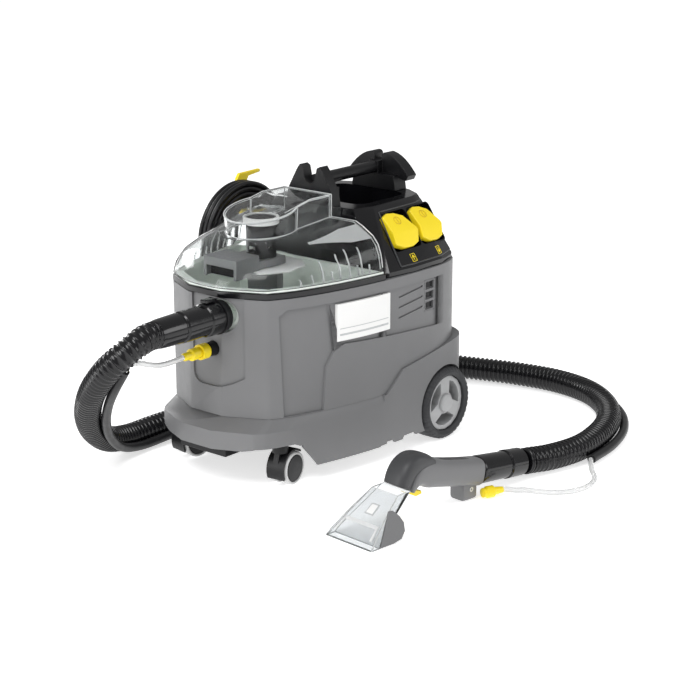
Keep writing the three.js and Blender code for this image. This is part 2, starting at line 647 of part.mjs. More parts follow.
const FRONT_TUBE = [
  [-240 - GAP, SPRAY_PORT.y, SPRAY_PORT.z], [-262, -15, 205], [-288, -18, 207], [-311, -20, 213],
  [-328, -18, 219], beyond(STRIP_ROUTE[0], STRIP_ROUTE[1], 15), beyond(STRIP_ROUTE[0], STRIP_ROUTE[1], 1.5),
];
add('spray_tube_front', tube(FRONT_TUBE, TUBE_DIAMETER, 8, 16), CLEAR);

function stadium(radius) {
  const shape = new THREE.Shape();
  const high = HANK.top - HANK.width / 2;
  const low = HANK.bottom + HANK.width / 2;
  shape.moveTo(HANK.x + radius, low);
  shape.lineTo(HANK.x + radius, high);
  shape.absarc(HANK.x, high, radius, 0, Math.PI);
  shape.lineTo(HANK.x - radius, low);
  shape.absarc(HANK.x, low, radius, Math.PI, 2 * Math.PI);
  return shape;
}

function makeHank() {
  const outer = stadium(HANK.width / 2);
  outer.holes.push(stadium(HANK.width / 2 - HANK.ring));
  return spread(outer, HANK.y - HANK.depth / 2, HANK.y + HANK.depth / 2, 10);
}
add('cable_winding', makeHank(), BLACK);

const GLAND = { x: 226, y: 145, z: 236, direction: [-0.8, 0.6, 0], length: 36 };

function makeCableGland() {
  const profile = [[0, 0], [12, 0], [12, 4], [9, 5], [8, 8], [5.6, GLAND.length], [0, GLAND.length]];
  return aim(turned(profile, 20), [GLAND.x, GLAND.y, GLAND.z], GLAND.direction);
}
add('cable_gland', cut(makeCableGland(), raise(plan(BODY_HALF, -GAP), 100, 400)), BLACK);

const GLAND_TIP = GLAND.direction.map((d, i) => [GLAND.x, GLAND.y, GLAND.z][i] + d * (GLAND.length + 1.5));
const HANK_EDGE_X = HANK.x + HANK.width / 2;
const CABLE_LEAD = [
  GLAND_TIP, [190, 173, 239], [183, 176, 245], [HANK_EDGE_X + 4 + GAP, 176, 256],
  [HANK_EDGE_X + 4 + GAP, 174, 276],
];
add('cable_lead', tube(CABLE_LEAD, CABLE_DIAMETER, 8, 8), BLACK);

const PLUG_BOTTOM_Z = 204;

function makePlug() {
  const profile = [[0, 20], [16, 20], [18, 26], [17, 58], [9, 66], [5.6, 72], [4.2, 88], [0, 88]];
  const pins = [-9.5, 9.5].map((dx) => disc(2.4, 0, 26, 12).translate(dx, 0, 0));
  return join(turned(profile, 24), ...pins).translate(66, HANK.y, PLUG_BOTTOM_Z);
}
add('mains_plug', makePlug(), BLACK);

const HOOK_THICKNESS = 6;

function makeUpperHook() {
  const outer = HANK.y + HANK.depth / 2 + 1;
  const post = alongY(disc(7, 128, outer + 3, 20)).translate(UPPER_HOOK.x, 0, UPPER_HOOK.z);
  const arm = spread(polygon([[86, 328], [104, 328], [112, 378], [119, 389], [146, 392], [146, 397],
    [98, 396], [92, 388]]), outer, outer + HOOK_THICKNESS);
  return join(post, arm);
}
add('cable_hook_upper', makeUpperHook(), YELLOW);

function makeLowerHook() {
  const outer = HANK.y + HANK.depth / 2 + 1;
  const post = alongY(disc(7, 154.6, outer + 3, 20)).translate(HANK.x, 0, 201);
  const arm = spread(polygon([[77, 208], [93, 208], [94, 160], [88, 140], [76, 140], [76, 160]]),
    outer, outer + HOOK_THICKNESS);
  return join(post, arm);
}
add('cable_hook_lower', makeLowerHook(), BLACK);

// ---------- inside the machine ----------

function makeTurbine() {
  const profile = [[0, 173.3], [56, 173.3], [58, 178], [58, 212], [46, 216], [44, 258], [36, 266], [0, 266]];
  return turned(profile, 28).translate(166, 0, 0);
}
add('suction_turbine', makeTurbine(), STEEL);

function makePump() {
  const block = box(64, 104, -112, -62, 173.3, 206);
  const head = alongY(disc(15, -124, -64, 20)).translate(84, 0, 200);
  return join(block, head);
}
add('water_pump', makePump(), BLACK);
add('water_filter', disc(14, FOOT_Z + WALL + GAP, 152, 20).translate(16, -74, 0), WHITE);

// ---------- rear wheels ----------

const HUB_RADIUS = 44;

function makeTyre() {
  const half = WHEEL_WIDTH / 2;
  const r = WHEEL_RADIUS;
  const profile = [[HUB_RADIUS + GAP, -half + 3], [r - 8, -half], [r - 2, -half + 3], [r, -half + 9],
    [r, half - 9], [r - 2, half - 3], [r - 8, half], [HUB_RADIUS + GAP, half - 3],
    [HUB_RADIUS + GAP, -half + 3]];
  return alongY(turned(profile, 32));
}

function makeHub() {
  const shape = new THREE.Shape();
  shape.absarc(0, 0, HUB_RADIUS, 0, 2 * Math.PI);
  const bore = new THREE.Path();
  bore.absarc(0, 0, 8.3, 0, 2 * Math.PI);
  shape.holes.push(bore);
  for (let k = 0; k < 3; k += 1) {
    const middle = Math.PI / 2 + (k * 2 * Math.PI) / 3;
    const window = new THREE.Path();
    window.absarc(0, 0, 36, middle - 0.72, middle + 0.72);
    window.absarc(0, 0, 18, middle + 0.42, middle - 0.42, true);
    window.closePath();
    shape.holes.push(window);
  }
  return alongY(raise(shape, -15, 15, 8));
}

for (const [side, sign] of [['near', -1], ['far', 1]]) {
  const middle = sign * (WHEEL_OUTER_Y - WHEEL_WIDTH / 2);
  const cap = sign > 0 ? [[0, 15.3], [15, 15.3], [14, 19], [10, 21], [0, 21]]
    : [[0, -21], [10, -21], [14, -19], [15, -15.3], [0, -15.3]];
  add(`tyre_${side}`, makeTyre().translate(AXLE_X, middle, WHEEL_RADIUS), RUBBER);
  add(`wheel_hub_${side}`, makeHub().translate(AXLE_X, middle, WHEEL_RADIUS), LIGHT_GREY);
  add(`axle_cap_${side}`, alongY(turned(cap, 24)).translate(AXLE_X, middle, WHEEL_RADIUS), LIGHT_GREY);
}
const AXLE_END = WHEEL_OUTER_Y - WHEEL_WIDTH / 2 + 15;
add('rear_axle', alongY(disc(8, -AXLE_END, AXLE_END, 20)).translate(AXLE_X, 0, WHEEL_RADIUS), STEEL);

// ---------- casters ----------

// Made with the stem on the origin and the wheels trailing towards +X, then turned about the stem.
function placeCaster(geometry, sign) {
  return geometry.rotateZ(CASTER_SWIVEL * -sign).translate(CASTER_X, sign * CASTER_Y, 0);
}

function makeCasterHood() {
  const cheek = spread(polygon([[-8, 56], [-13, 40], [-12, 20], [0, 12], [14, 10], [24, 17], [28, 30],
    [22, 46], [10, 56]]), -4.5, 4.5);
  const guard = new THREE.Shape();
  const from = THREE.MathUtils.degToRad(50);
  const to = THREE.MathUtils.degToRad(205);
  guard.absarc(CASTER_TRAIL, CASTER_RADIUS, 29.5, from, to);
  guard.absarc(CASTER_TRAIL, CASTER_RADIUS, 26.6, to, from, true);
  guard.closePath();
  const cover = spread(guard, -15, 15, 8);
  const flange = disc(12, 52, SKIRT_BOTTOM_Z + 1 - GAP, 20);
  const stem = disc(5.6, 50, 84, 16);
  const pin = alongY(disc(3, -14, 14, 12)).translate(CASTER_TRAIL, 0, CASTER_RADIUS);
  return join(cheek, cover, flange, stem, pin);
}

function makeCasterWheel() {
  const r = CASTER_RADIUS;
  const profile = [[3.3, 5], [r - 1.5, 5], [r, 7], [r, 15], [r - 2, 17.2], [3.3, 17.2], [3.3, 5]];
  return alongY(turned(profile, 28));
}

for (const [side, sign] of [['near', -1], ['far', 1]]) {
  add(`caster_hood_${side}`, placeCaster(makeCasterHood(), sign), BLACK);
  const wheelAt = (turn) => makeCasterWheel().rotateZ(turn).translate(CASTER_TRAIL, 0, CASTER_RADIUS);
  add(`caster_wheel_${side}_left`, placeCaster(wheelAt(0), sign), RUBBER);
  add(`caster_wheel_${side}_right`, placeCaster(wheelAt(Math.PI), sign), RUBBER);
}

// ---------- hand tool ----------

// Made with its mouth at the origin and its handle towards +X, then laid beside the machine.
const onTool = (geometry) => geometry.rotateZ(TOOL.yaw).translate(TOOL.x, TOOL.y, 0);

function toolPoint(along, across, height) {
  const c = Math.cos(TOOL.yaw);
  const s = Math.sin(TOOL.yaw);
  return [TOOL.x + along * c - across * s, TOOL.y + along * s + across * c, height];
}

function slab(x0, x1, halfWidth, z) {
  return [[x0, -halfWidth], [x1, -halfWidth], [x1, halfWidth], [x0, halfWidth]]
    .map(([x, y]) => new THREE.Vector3(x, y, z));
}

function makeNozzleCover() {
  const outer = loft([slab(-2, 15, 44, 0.6), slab(6, 24, 42, 9), slab(34, 54, 34, 32),
    slab(70, 94, 25, 57)]);
  const inner = loft([slab(0.5, 12.5, 41.5, -1), slab(8.5, 21.5, 39.5, 9), slab(36.5, 51.5, 31.5, 32),
    slab(74, 91, 22.5, 60)]);
  return cut(outer, inner);
}
add('nozzle_cover', onTool(makeNozzleCover()), CLEAR);

function makeNozzleBase() {
  const block = loft([slab(70, 100, 25, 57.4), slab(76, 106, 22, 72)]);
  const throat = loft([slab(76, 90, 20, 50), slab(86, 98, 17, 80)]);
  return cut(block, throat);
}
add('nozzle_base', onTool(makeNozzleBase()), BLACK);

add('spray_guard', onTool(loft([slab(48, 51, 47, 4), slab(56, 59.5, 43, 20), slab(74, 77.5, 32, 38),
  slab(98, 102, 22, 57)])), GREY);

function rounded(points, halfWidth, bevel) {
  const settings = { depth: 2 * (halfWidth - bevel), bevelEnabled: true, bevelSize: bevel * 0.8,
    bevelThickness: bevel, bevelSegments: 3, bevelOffset: -bevel * 0.8, curveSegments: 6 };
  const geometry = new THREE.ExtrudeGeometry(polygon(points), settings);
  return geometry.rotateX(Math.PI / 2).translate(0, halfWidth - bevel, 0);
}

const NECK_OUTLINE = [[84, 72.6], [112, 72.6], [130, 52], [150, 42], [150, 88], [132, 98], [116, 98],
  [98, 86]];
const HANDLE_OUTLINE = [[150.3, 42], [176, 34], [210, 27], [255, 18], [255, 58], [214, 69], [176, 80],
  [150.3, 88]];
add('tool_neck', onTool(rounded(NECK_OUTLINE, 21, 6)), BLACK);
add('tool_handle', onTool(rounded(HANDLE_OUTLINE, 20, 7)), GREY);

function makeToolCuff() {
  const profile = [[16, 0], [20.5, 0], [21.5, 3], [20.4, 60], [19.4, 61], [19.4, 63], [21.8, 64], [21, 97],
    [19.5, 98], [16, 98], [16, 0]];
  return aim(turned(profile, 24), [259, 0, 38.3], [1, 0, -0.125]);
}
add('tool_cuff', onTool(makeToolCuff()), BLACK);

const TRIGGER_OUTLINE = [[106, 56], [126, 45.5], [136, 42], [137, 37], [125, 36], [110, 44], [104, 51]];
add('tool_trigger', onTool(rounded(TRIGGER_OUTLINE, 8, 2)), YELLOW);

function makeValveBlock() {
  const body = box(216, 252, -26, 4, 1, 16.6);
  const post = box(218, 228, -5, 5, 15, 22.4);
  const screw = disc(4.5, 10, 18, 12).translate(240, -20, 0);
  return join(body, post, screw);
}
add('valve_block', onTool(makeValveBlock()), GREY);

const COUPLING = { start: [252.6, -19, 9.6], direction: [0.94, -0.34, 0], length: 34 };
function makeToolCoupling() {
  const profile = [[0, 0], [7, 0], [7, 6], [8.8, 7], [8.8, 18], [6, 20], [4.6, COUPLING.length],
    [0, COUPLING.length]];
  return aim(turned(profile, 24), COUPLING.start, COUPLING.direction);
}
add('tool_coupling', onTool(cut(makeToolCoupling(), box(200, 252.3, -60, 60, 0, 40))), YELLOW);

const COUPLING_TIP = COUPLING.start.map((v, i) => v + COUPLING.direction[i] * (COUPLING.length + 2));
const STRIP_END = STRIP_ROUTE[STRIP_ROUTE.length - 1];
const TOOL_TUBE = [
  toolPoint(...COUPLING_TIP), toolPoint(298, -42, 8), [74, -396, 5.5], [84, -417, 4.8], [99, -438, 4.8],
  [122, -452, 4.8], [152, -455, 4.8], [181, -445, 5], [203, -426, 7],
  beyond(STRIP_END, STRIP_ROUTE[STRIP_ROUTE.length - 2], 2.5),
];
add('spray_tube_tool', tube(TOOL_TUBE, TUBE_DIAMETER, 8, 18), CLEAR);

// ---------- origin: on the floor, under the middle of the machine and tool without their cords ----------

const CORD_PIECES = ['suction_hose', 'tube_channel', 'spray_tube_front', 'spray_tube_tool', 'cable_winding',
  'cable_lead', 'cable_gland', 'mains_plug'];
const bounds = new THREE.Box3();
root.children.filter((mesh) => !CORD_PIECES.includes(mesh.name))
  .forEach((mesh) => bounds.expandByObject(mesh));
const middle = bounds.getCenter(new THREE.Vector3());
root.position.set(-middle.x, -middle.y, -bounds.min.z);

export default root;
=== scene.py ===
import json
import math
import random

import bmesh
import bpy
from mathutils import Matrix, Vector


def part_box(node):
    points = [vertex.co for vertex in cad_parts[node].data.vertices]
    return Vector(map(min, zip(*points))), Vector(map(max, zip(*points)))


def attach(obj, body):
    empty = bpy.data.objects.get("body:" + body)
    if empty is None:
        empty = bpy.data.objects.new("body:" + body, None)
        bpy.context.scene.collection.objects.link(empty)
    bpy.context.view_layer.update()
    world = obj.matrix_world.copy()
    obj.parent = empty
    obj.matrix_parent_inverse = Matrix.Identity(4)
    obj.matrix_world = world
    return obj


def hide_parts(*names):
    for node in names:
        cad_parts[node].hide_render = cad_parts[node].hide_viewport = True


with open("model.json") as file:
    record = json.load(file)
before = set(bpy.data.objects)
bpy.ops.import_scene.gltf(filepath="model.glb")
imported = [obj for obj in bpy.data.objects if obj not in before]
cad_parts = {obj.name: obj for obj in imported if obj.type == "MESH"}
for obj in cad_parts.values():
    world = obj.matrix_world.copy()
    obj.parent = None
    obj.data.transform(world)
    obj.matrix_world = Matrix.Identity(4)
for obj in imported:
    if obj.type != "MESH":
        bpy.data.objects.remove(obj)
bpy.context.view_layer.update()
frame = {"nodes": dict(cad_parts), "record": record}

AXLE_LOW, AXLE_HIGH = (Vector(corner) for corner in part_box("rear_axle"))
AXLE_X_MM = 195

# Machine millimetres start under the machine's middle plane, where the CAD frame is centred on its box.
SHIFT = Vector(((AXLE_LOW.x + AXLE_HIGH.x) / 2 - AXLE_X_MM / 1000, (AXLE_LOW.y + AXLE_HIGH.y) / 2, 0))


SIDES = (("near", -1), ("far", 1))


def at(x, y, z):
    """A point given in machine millimetres, in the frame's metres."""
    return Vector((x, y, z)) / 1000 + SHIFT


def add_object(name, data):
    """A new object in the scene."""
    piece = bpy.data.objects.new(name, data)
    bpy.context.scene.collection.objects.link(piece)
    return piece


# ---------- camera ----------

CAMERA_MM = (-2000.5, -1786.3, 960.1)
AIM_MM = (149.6, 0, 125.2)
LENS_MM = 93.8


def make_camera():
    data = bpy.data.cameras.new("camera")
    data.lens = LENS_MM
    data.sensor_width = 36
    data.clip_end = 50
    camera = add_object("camera", data)
    camera.location = at(*CAMERA_MM)
    camera.rotation_euler = (at(*AIM_MM) - at(*CAMERA_MM)).to_track_quat("-Z", "Y").to_euler()
    bpy.context.scene.camera = camera


make_camera()

# ---------- materials ----------


class Nodes:
    """Short calls for building one material's node tree."""

    def __init__(self, name):
        self.material = bpy.data.materials.new(name)
        self.material.use_nodes = True
        self.tree = self.material.node_tree
        self.shader = self.tree.nodes["Principled BSDF"]
        self.place = self.new("ShaderNodeTexCoord").outputs["Object"]

    def new(self, kind, **values):
        """A new node. The values go to its inputs, and underscores stand for spaces in their names."""
        node = self.tree.nodes.new(kind)
        for key, value in values.items():
            node.inputs[key.replace("_", " ")].default_value = value
        return node

    def link(self, source, target):
        self.tree.links.new(source, target)

    def noise(self, scale, detail=3.0, roughness=0.55):
        node = self.new("ShaderNodeTexNoise", Scale=scale, Detail=detail, Roughness=roughness)
        self.link(self.place, node.inputs["Vector"])
        return node.outputs["Fac"]

    def ranged(self, source, low, high, from_low=0.3, from_high=0.7):
        node = self.new("ShaderNodeMapRange", From_Min=from_low, From_Max=from_high, To_Min=low, To_Max=high)
        self.link(source, node.inputs["Value"])
        return node.outputs["Result"]

    def blend(self, factor, first, second):
        node = self.new("ShaderNodeMix")
        node.data_type = "RGBA"
        for name, value in (("A", first), ("B", second)):
            socket = [s for s in node.inputs if s.name == name and s.type == "RGBA"][0]
            socket.default_value = (*value, 1)
        self.link(factor, node.inputs["Factor"])
        return [s for s in node.outputs if s.type == "RGBA"][0]

    def bump(self, height, distance, strength):
        node = self.new("ShaderNodeBump", Strength=strength, Distance=distance)
        self.link(height, node.inputs["Height"])
        return node.outputs["Normal"]

    def feed(self, name, source):
        """Links a socket to one of the shader's inputs."""
        self.link(source, self.shader.inputs[name])

    def set(self, **values):
        """Sets inputs of the shader. Underscores stand for the spaces in their names."""
        for name, value in values.items():
            self.shader.inputs[name.replace("_", " ")].default_value = value


def plastic(name, color, roughness, grain=1400, grain_depth=0.00012, mottle=0.05, specular=0.5):
    """Moulded plastic: fine grain as bump, slow changes of tone, and an uneven sheen."""
    n = Nodes(name)
    darker = [c * (1 - mottle) for c in color]
    lighter = [min(1, c * (1 + mottle)) for c in color]
    n.feed("Base Color", n.blend(n.ranged(n.noise(9), 0, 1), darker, lighter))
    n.feed("Roughness", n.ranged(n.noise(60, 5), roughness * 0.88, roughness * 1.14))
    n.feed("Normal", n.bump(n.noise(grain, 2), grain_depth, 0.6))
    n.set(Specular_IOR_Level=specular)
    return n.material


HAZE_FADE = 0.4


def clear(name, color, roughness=0.03, ior=1.45, transmission=1.0, haze=0.15):
    """Clear moulded plastic with slight waves from the mould and faint haze."""
    n = Nodes(name)
    faded = [c * (1 - haze * HAZE_FADE) for c in color]
    n.feed("Base Color", n.blend(n.ranged(n.noise(14), 0, 1), faded, color))
    n.feed("Roughness", n.ranged(n.noise(40, 4), roughness, roughness * 2.2))
    n.feed("Normal", n.bump(n.noise(35, 2), 0.0006, 0.25))
    n.set(IOR=ior, Transmission_Weight=transmission)
    return n.material


def metal(name, color, roughness):
    """Brushed metal: its noise is squeezed along one axis into fine lines."""
    n = Nodes(name)
    stretched = n.new("ShaderNodeMapping", Scale=(1, 1, 40))
    n.link(n.place, stretched.inputs["Vector"])
    n.place = stretched.outputs["Vector"]
    darker = [c * 0.85 for c in color]
    n.feed("Base Color", n.blend(n.ranged(n.noise(30, 4), 0, 1), darker, color))
    n.feed("Roughness", n.ranged(n.noise(60, 4), roughness * 0.8, roughness * 1.3))
    n.feed("Normal", n.bump(n.noise(120, 3), 0.0001, 0.5))
    n.set(Metallic=1)
    return n.material


GREY = plastic("grey_plastic", (0.165, 0.166, 0.170), 0.40, mottle=0.03, specular=0.4)
DARK_GREY = plastic("dark_grey_plastic", (0.050, 0.051, 0.054), 0.42, mottle=0.05, specular=0.35)
MID_GREY = plastic("mid_grey_plastic", (0.22, 0.222, 0.226), 0.4, mottle=0.04)
LIGHT_GREY = plastic("light_grey_plastic", (0.40, 0.405, 0.41), 0.38, mottle=0.04)
BLACK = plastic("black_plastic", (0.006, 0.006, 0.007), 0.38, mottle=0.12, specular=0.3)
GLOSSY_BLACK = plastic("glossy_black_plastic", (0.004, 0.004, 0.005), 0.14, grain=500, grain_depth=0.00005,
                       mottle=0.15, specular=0.45)
HOSE_BLACK = plastic("hose_plastic", (0.004, 0.004, 0.005), 0.22, grain=700, grain_depth=0.00006,
                     mottle=0.15, specular=0.4)
STRIP_BLACK = plastic("strip_plastic", (0.012, 0.012, 0.013), 0.4, grain=900, grain_depth=0.0001,
                      mottle=0.1, specular=0.35)
RUBBER = plastic("tyre_rubber", (0.040, 0.041, 0.044), 0.6, grain=900, grain_depth=0.0003, mottle=0.12,
                 specular=0.3)
CABLE_BLACK = plastic("cable_sheath", (0.005, 0.005, 0.006), 0.36, grain=1200, grain_depth=0.0001,
                      mottle=0.1, specular=0.4)
YELLOW = plastic("yellow_plastic", (0.93, 0.72, 0.012), 0.34, grain=900, grain_depth=0.00008, mottle=0.03)
# Darker yellow for the marks on the rockers: painted shade of their embossing.
SHADE_YELLOW = plastic("emboss_shade_yellow", (0.62, 0.42, 0.004), 0.4, grain=900, grain_depth=0.00008,
                       mottle=0.04)
WHITE = plastic("white_plastic", (0.85, 0.85, 0.84), 0.33, mottle=0.02)
TREAD = plastic("caster_tread", (0.55, 0.55, 0.55), 0.42, mottle=0.06)
SILVER = plastic("silver_print", (0.5, 0.51, 0.52), 0.3, mottle=0.04)
CLEAR = clear("clear_plastic", (0.95, 0.965, 0.965), ior=1.24)
COVER_CLEAR = clear("cover_plastic", (0.80, 0.815, 0.825), roughness=0.06, ior=1.3)
# Half clear and whiter than the clear plastic: painted highlight on the beads along clear edges and on the
# lid's ribs.
CLEAR_HIGHLIGHT = clear("clear_highlight", (0.93, 0.95, 0.95), roughness=0.1, transmission=0.35)
FROSTED = clear("frosted_plastic", (0.90, 0.91, 0.91), roughness=0.25, transmission=0.35, haze=0.1)
TANK = clear("tank_plastic", (0.88, 0.94, 0.88), roughness=0.3, transmission=0.06, haze=0.1)
TUBE = clear("tube_plastic", (0.95, 0.955, 0.955), roughness=0.12, transmission=0.5)
STEEL = metal("steel", (0.6, 0.61, 0.62), 0.3)

# ---------- shape helpers ----------

BODY_OF = {node: body for body, nodes in frame["record"]["behaviour"]["bodies"].items() for node in nodes}


def place(name, mesh, material, body, stands_for=()):
    """Links a new piece that rides on a body, with its material, and hides the CAD nodes it stands for."""
    piece = add_object(name, mesh)
    mesh.materials.clear()
    mesh.materials.append(material)
    if stands_for:
        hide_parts(*stands_for)
    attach(piece, body)
    return piece


def smooth(mesh, angle=35):
    """Smooth shading, with edges sharper than the angle kept crisp."""
    for face in mesh.polygons:
        face.use_smooth = True
    mesh.set_sharp_from_angle(angle=math.radians(angle))


FLAT_DEGREES = 1.2


def clean_copy(node):
    """A bmesh of a CAD node with its triangles merged back into flat faces."""
    bm = bmesh.new()
    bm.from_mesh(frame["nodes"][node].data)
    bmesh.ops.remove_doubles(bm, verts=bm.verts, dist=0.00002)
    bmesh.ops.dissolve_limit(bm, angle_limit=math.radians(FLAT_DEGREES), verts=bm.verts, edges=bm.edges)
    bmesh.ops.recalc_face_normals(bm, faces=bm.faces)
    return bm


def apply_modifiers(piece):
    """Bakes a piece's modifiers into its mesh."""
    evaluated = piece.evaluated_get(bpy.context.evaluated_depsgraph_get())
    mesh = bpy.data.meshes.new_from_object(evaluated)
    piece.modifiers.clear()
    piece.data = mesh


def refine(node, material, width=1.2, segments=2, angle=34, edit=None, holes=()):
    """Stands a copy of a CAD node with rounded edges in the node's place. Width is in millimetres."""
    bm = clean_copy(node)
    if edit:
        edit(bm)
    mesh = bpy.data.meshes.new(node + "_shape")
    bm.to_mesh(mesh)
    bm.free()
    piece = place(node + "_look", mesh, material, BODY_OF[node], [node])
    for hole in holes:
        cutter = piece.modifiers.new("hole", "BOOLEAN")
        cutter.operation = "DIFFERENCE"
        cutter.solver = "EXACT"
        cutter.object = hole
    if width:
        bevel = piece.modifiers.new("edges", "BEVEL")
        bevel.width = width / 1000
        bevel.segments = segments
        bevel.limit_method = "ANGLE"
        bevel.angle_limit = math.radians(angle)
        bevel.use_clamp_overlap = True
        bevel.harden_normals = False
    bpy.context.view_layer.update()
    apply_modifiers(piece)
    for hole in holes:
        bpy.data.objects.remove(hole)
    smooth(piece.data, 40)
    weighted = piece.modifiers.new("shading", "WEIGHTED_NORMAL")
    weighted.keep_sharp = True
    weighted.weight = 60
    return piece


def mesh_from(name, points, faces):
    mesh = bpy.data.meshes.new(name)
    mesh.from_pydata([tuple(p) for p in points], [], faces)
    mesh.update()
    return mesh


def around(count):
    """Even angles round a full turn."""
    return [2 * math.pi * k / count for k in range(count)]


def band_faces(rings, size):
    """The faces between neighbouring rings of points."""
    faces = []
    for ring in range(rings - 1):
        for k in range(size):
            a = ring * size + k
            b = ring * size + (k + 1) % size
            faces.append((a, b, b + size, a + size))
    return faces


def end_faces(rings, size):
    """The faces that close the first and the last ring."""
    return [tuple(range(size))[::-1], tuple((rings - 1) * size + k for k in range(size))]


def face_outwards(mesh):
    """Turns every face of a closed mesh outwards."""
    bm = bmesh.new()
    bm.from_mesh(mesh)
    bmesh.ops.recalc_face_normals(bm, faces=bm.faces)
    bm.to_mesh(mesh)
    bm.free()


def loft(rings):
    """A closed mesh through rings of equal counts, given in machine millimetres."""
    points = [at(*p) for ring_points in rings for p in ring_points]
    size = len(rings[0])
    mesh = mesh_from("loft", points, end_faces(len(rings), size) + band_faces(len(rings), size))
    face_outwards(mesh)
    return mesh


def along_line(stops, x):
    """The value of a broken line through (x, value) stops, or None past its ends."""
    for (x0, value0), (x1, value1) in zip(stops, stops[1:]):
        if x0 <= x <= x1:
            return value0 + (value1 - value0) * (x - x0) / (x1 - x0)
    return None


def block(name, outline, low, high, axis="z", bevel=1.0):
    """A solid from a flat outline, pushed from low to high along an axis, with rounded edges. Millimetres."""
    bm = bmesh.new()
    order = {
        "x": lambda a, b, c: at(c, a, b),
        "y": lambda a, b, c: at(a, c, b),
        "z": lambda a, b, c: at(a, b, c),
    }
    make = order[axis]
    lower = [bm.verts.new(make(a, b, low)) for a, b in outline]
    upper = [bm.verts.new(make(a, b, high)) for a, b in outline]
    count = len(outline)
    bm.faces.new(lower)
    bm.faces.new(upper)
    for i in range(count):
        bm.faces.new((lower[i], lower[(i + 1) % count], upper[(i + 1) % count], upper[i]))
    bmesh.ops.recalc_face_normals(bm, faces=bm.faces)
    if bevel:
        sharp = [e for e in bm.edges if e.calc_face_angle(0) > math.radians(30)]
        bmesh.ops.bevel(bm, geom=sharp, offset=bevel / 1000, segments=2, profile=0.6, affect="EDGES",
                        clamp_overlap=True)
    mesh = bpy.data.meshes.new(name)
    bm.to_mesh(mesh)
    bm.free()
    smooth(mesh)
    return mesh


def rectangle(a0, a1, b0, b1):
    return [(a0, b0), (a1, b0), (a1, b1), (a0, b1)]


def turned(name, profile, centre, axis, sides=48):
    """A lathe-turned solid. The profile holds (radius, distance along the axis) in millimetres."""
    direction = Vector(axis).normalized()
    side = direction.orthogonal().normalized()
    other = direction.cross(side)
    origin = at(*centre)
    points = []
    for radius, along in profile:
        for angle in around(sides):
            spoke = side * math.cos(angle) + other * math.sin(angle)
            points.append(origin + (spoke * radius + direction * along) / 1000)
    mesh = mesh_from(name, points, band_faces(len(profile), sides))
    bm = bmesh.new()
    bm.from_mesh(mesh)
    bmesh.ops.remove_doubles(bm, verts=bm.verts, dist=0.00001)
    bmesh.ops.holes_fill(bm, edges=[e for e in bm.edges if e.is_boundary])
    bmesh.ops.recalc_face_normals(bm, faces=bm.faces)
    bm.to_mesh(mesh)
    bm.free()
    smooth(mesh)
    return mesh


# ---------- cords ----------

def between(t, t0, p0, t1, p1):
    """The point at t on the line from p0 at t0 to p1 at t1."""
    return p0 * ((t1 - t) / (t1 - t0)) + p1 * ((t - t0) / (t1 - t0))


def curve_points(route, spacing):
    """Points a given distance apart on the centripetal Catmull-Rom curve through the route, in metres."""
    knots = [Vector(p) for p in route]
    knots = [2 * knots[0] - knots[1], *knots, 2 * knots[-1] - knots[-2]]
    dense = []
    for i in range(1, len(knots) - 2):
        p0, p1, p2, p3 = knots[i - 1:i + 3]
        t0 = 0.0
        t1 = t0 + math.sqrt((p1 - p0).length)
        t2 = t1 + math.sqrt((p2 - p1).length)
        t3 = t2 + math.sqrt((p3 - p2).length)
        steps = 24
        for k in range(steps):
            t = t1 + (t2 - t1) * k / steps
            a1 = between(t, t0, p0, t1, p1)
            a2 = between(t, t1, p1, t2, p2)
            a3 = between(t, t2, p2, t3, p3)
            b1 = between(t, t0, a1, t2, a2)
            b2 = between(t, t1, a2, t3, a3)
            dense.append(between(t, t1, b1, t2, b2))
    dense.append(knots[-2])
    travelled = [0.0]
    for first, second in zip(dense, dense[1:]):
        travelled.append(travelled[-1] + (second - first).length)
    count = max(2, round(travelled[-1] / spacing))
    points = []
    i = 0
    for k in range(count + 1):
        want = travelled[-1] * k / count
        while i < len(dense) - 2 and travelled[i + 1] < want:
            i += 1
        part = (want - travelled[i]) / max(1e-9, travelled[i + 1] - travelled[i])
        points.append(dense[i].lerp(dense[i + 1], min(1, part)))
    return points


def length_of(points):
    return sum((b - a).length for a, b in zip(points, points[1:]))


def tube_mesh(name, points, radii, sides):
    """A round tube along points, closed at its ends, with a radius in metres at each point."""
    tangents = [(points[min(i + 1, len(points) - 1)] - points[max(i - 1, 0)]).normalized()
                for i in range(len(points))]
    side = tangents[0].orthogonal().normalized()
    vertices = []
    for point, tangent, radius in zip(points, tangents, radii):
        side = (side - tangent * side.dot(tangent)).normalized()
        other = tangent.cross(side)
        for angle in around(sides):
            vertices.append(point + (side * math.cos(angle) + other * math.sin(angle)) * radius)
    mesh = mesh_from(name, vertices, band_faces(len(points), sides) + end_faces(len(points), sides))
    smooth(mesh, 50)
    return mesh


HOSE_ROUTE = [
    (-309.2, -28, 257), (-322, -28, 256.6), (-340, -27, 251), (-358, -17, 236), (-366, 6, 214),
    (-358, 40, 183), (-336, 80, 146), (-304, 120, 104), (-262, 154, 64), (-215, 176, 34), (-165, 186, 22),
    (-110, 187, 22), (-40, 186, 22), (40, 188, 22), (120, 194, 22), (200, 200, 22),
    (278, 191, 22), (345, 158, 22), (401, 108, 22), (443, 48, 22), (470, -22, 22),
    (491, -96, 22), (499, -170, 22), (482, -242, 22), (438, -302, 22), (376, -346, 22),
    (305, -371, 22), (235, -380, 22), (172, -369, 22.6), (136, -356.4, 24.6), (122.3, -354.8, 26),
]
HOSE_DIAMETER = 40
STRIP_DIAMETER = 14
TUBE_DIAMETER = 8
CABLE_DIAMETER = 8
RIB_PITCH = 8
# One rib of the hose: how far along the pitch, and the radius there.
RIB_SHAPE = [(0.0, 20.0), (0.17, 20.0), (0.27, 18.6), (0.42, 17.9), (0.68, 17.9), (0.86, 18.6)]


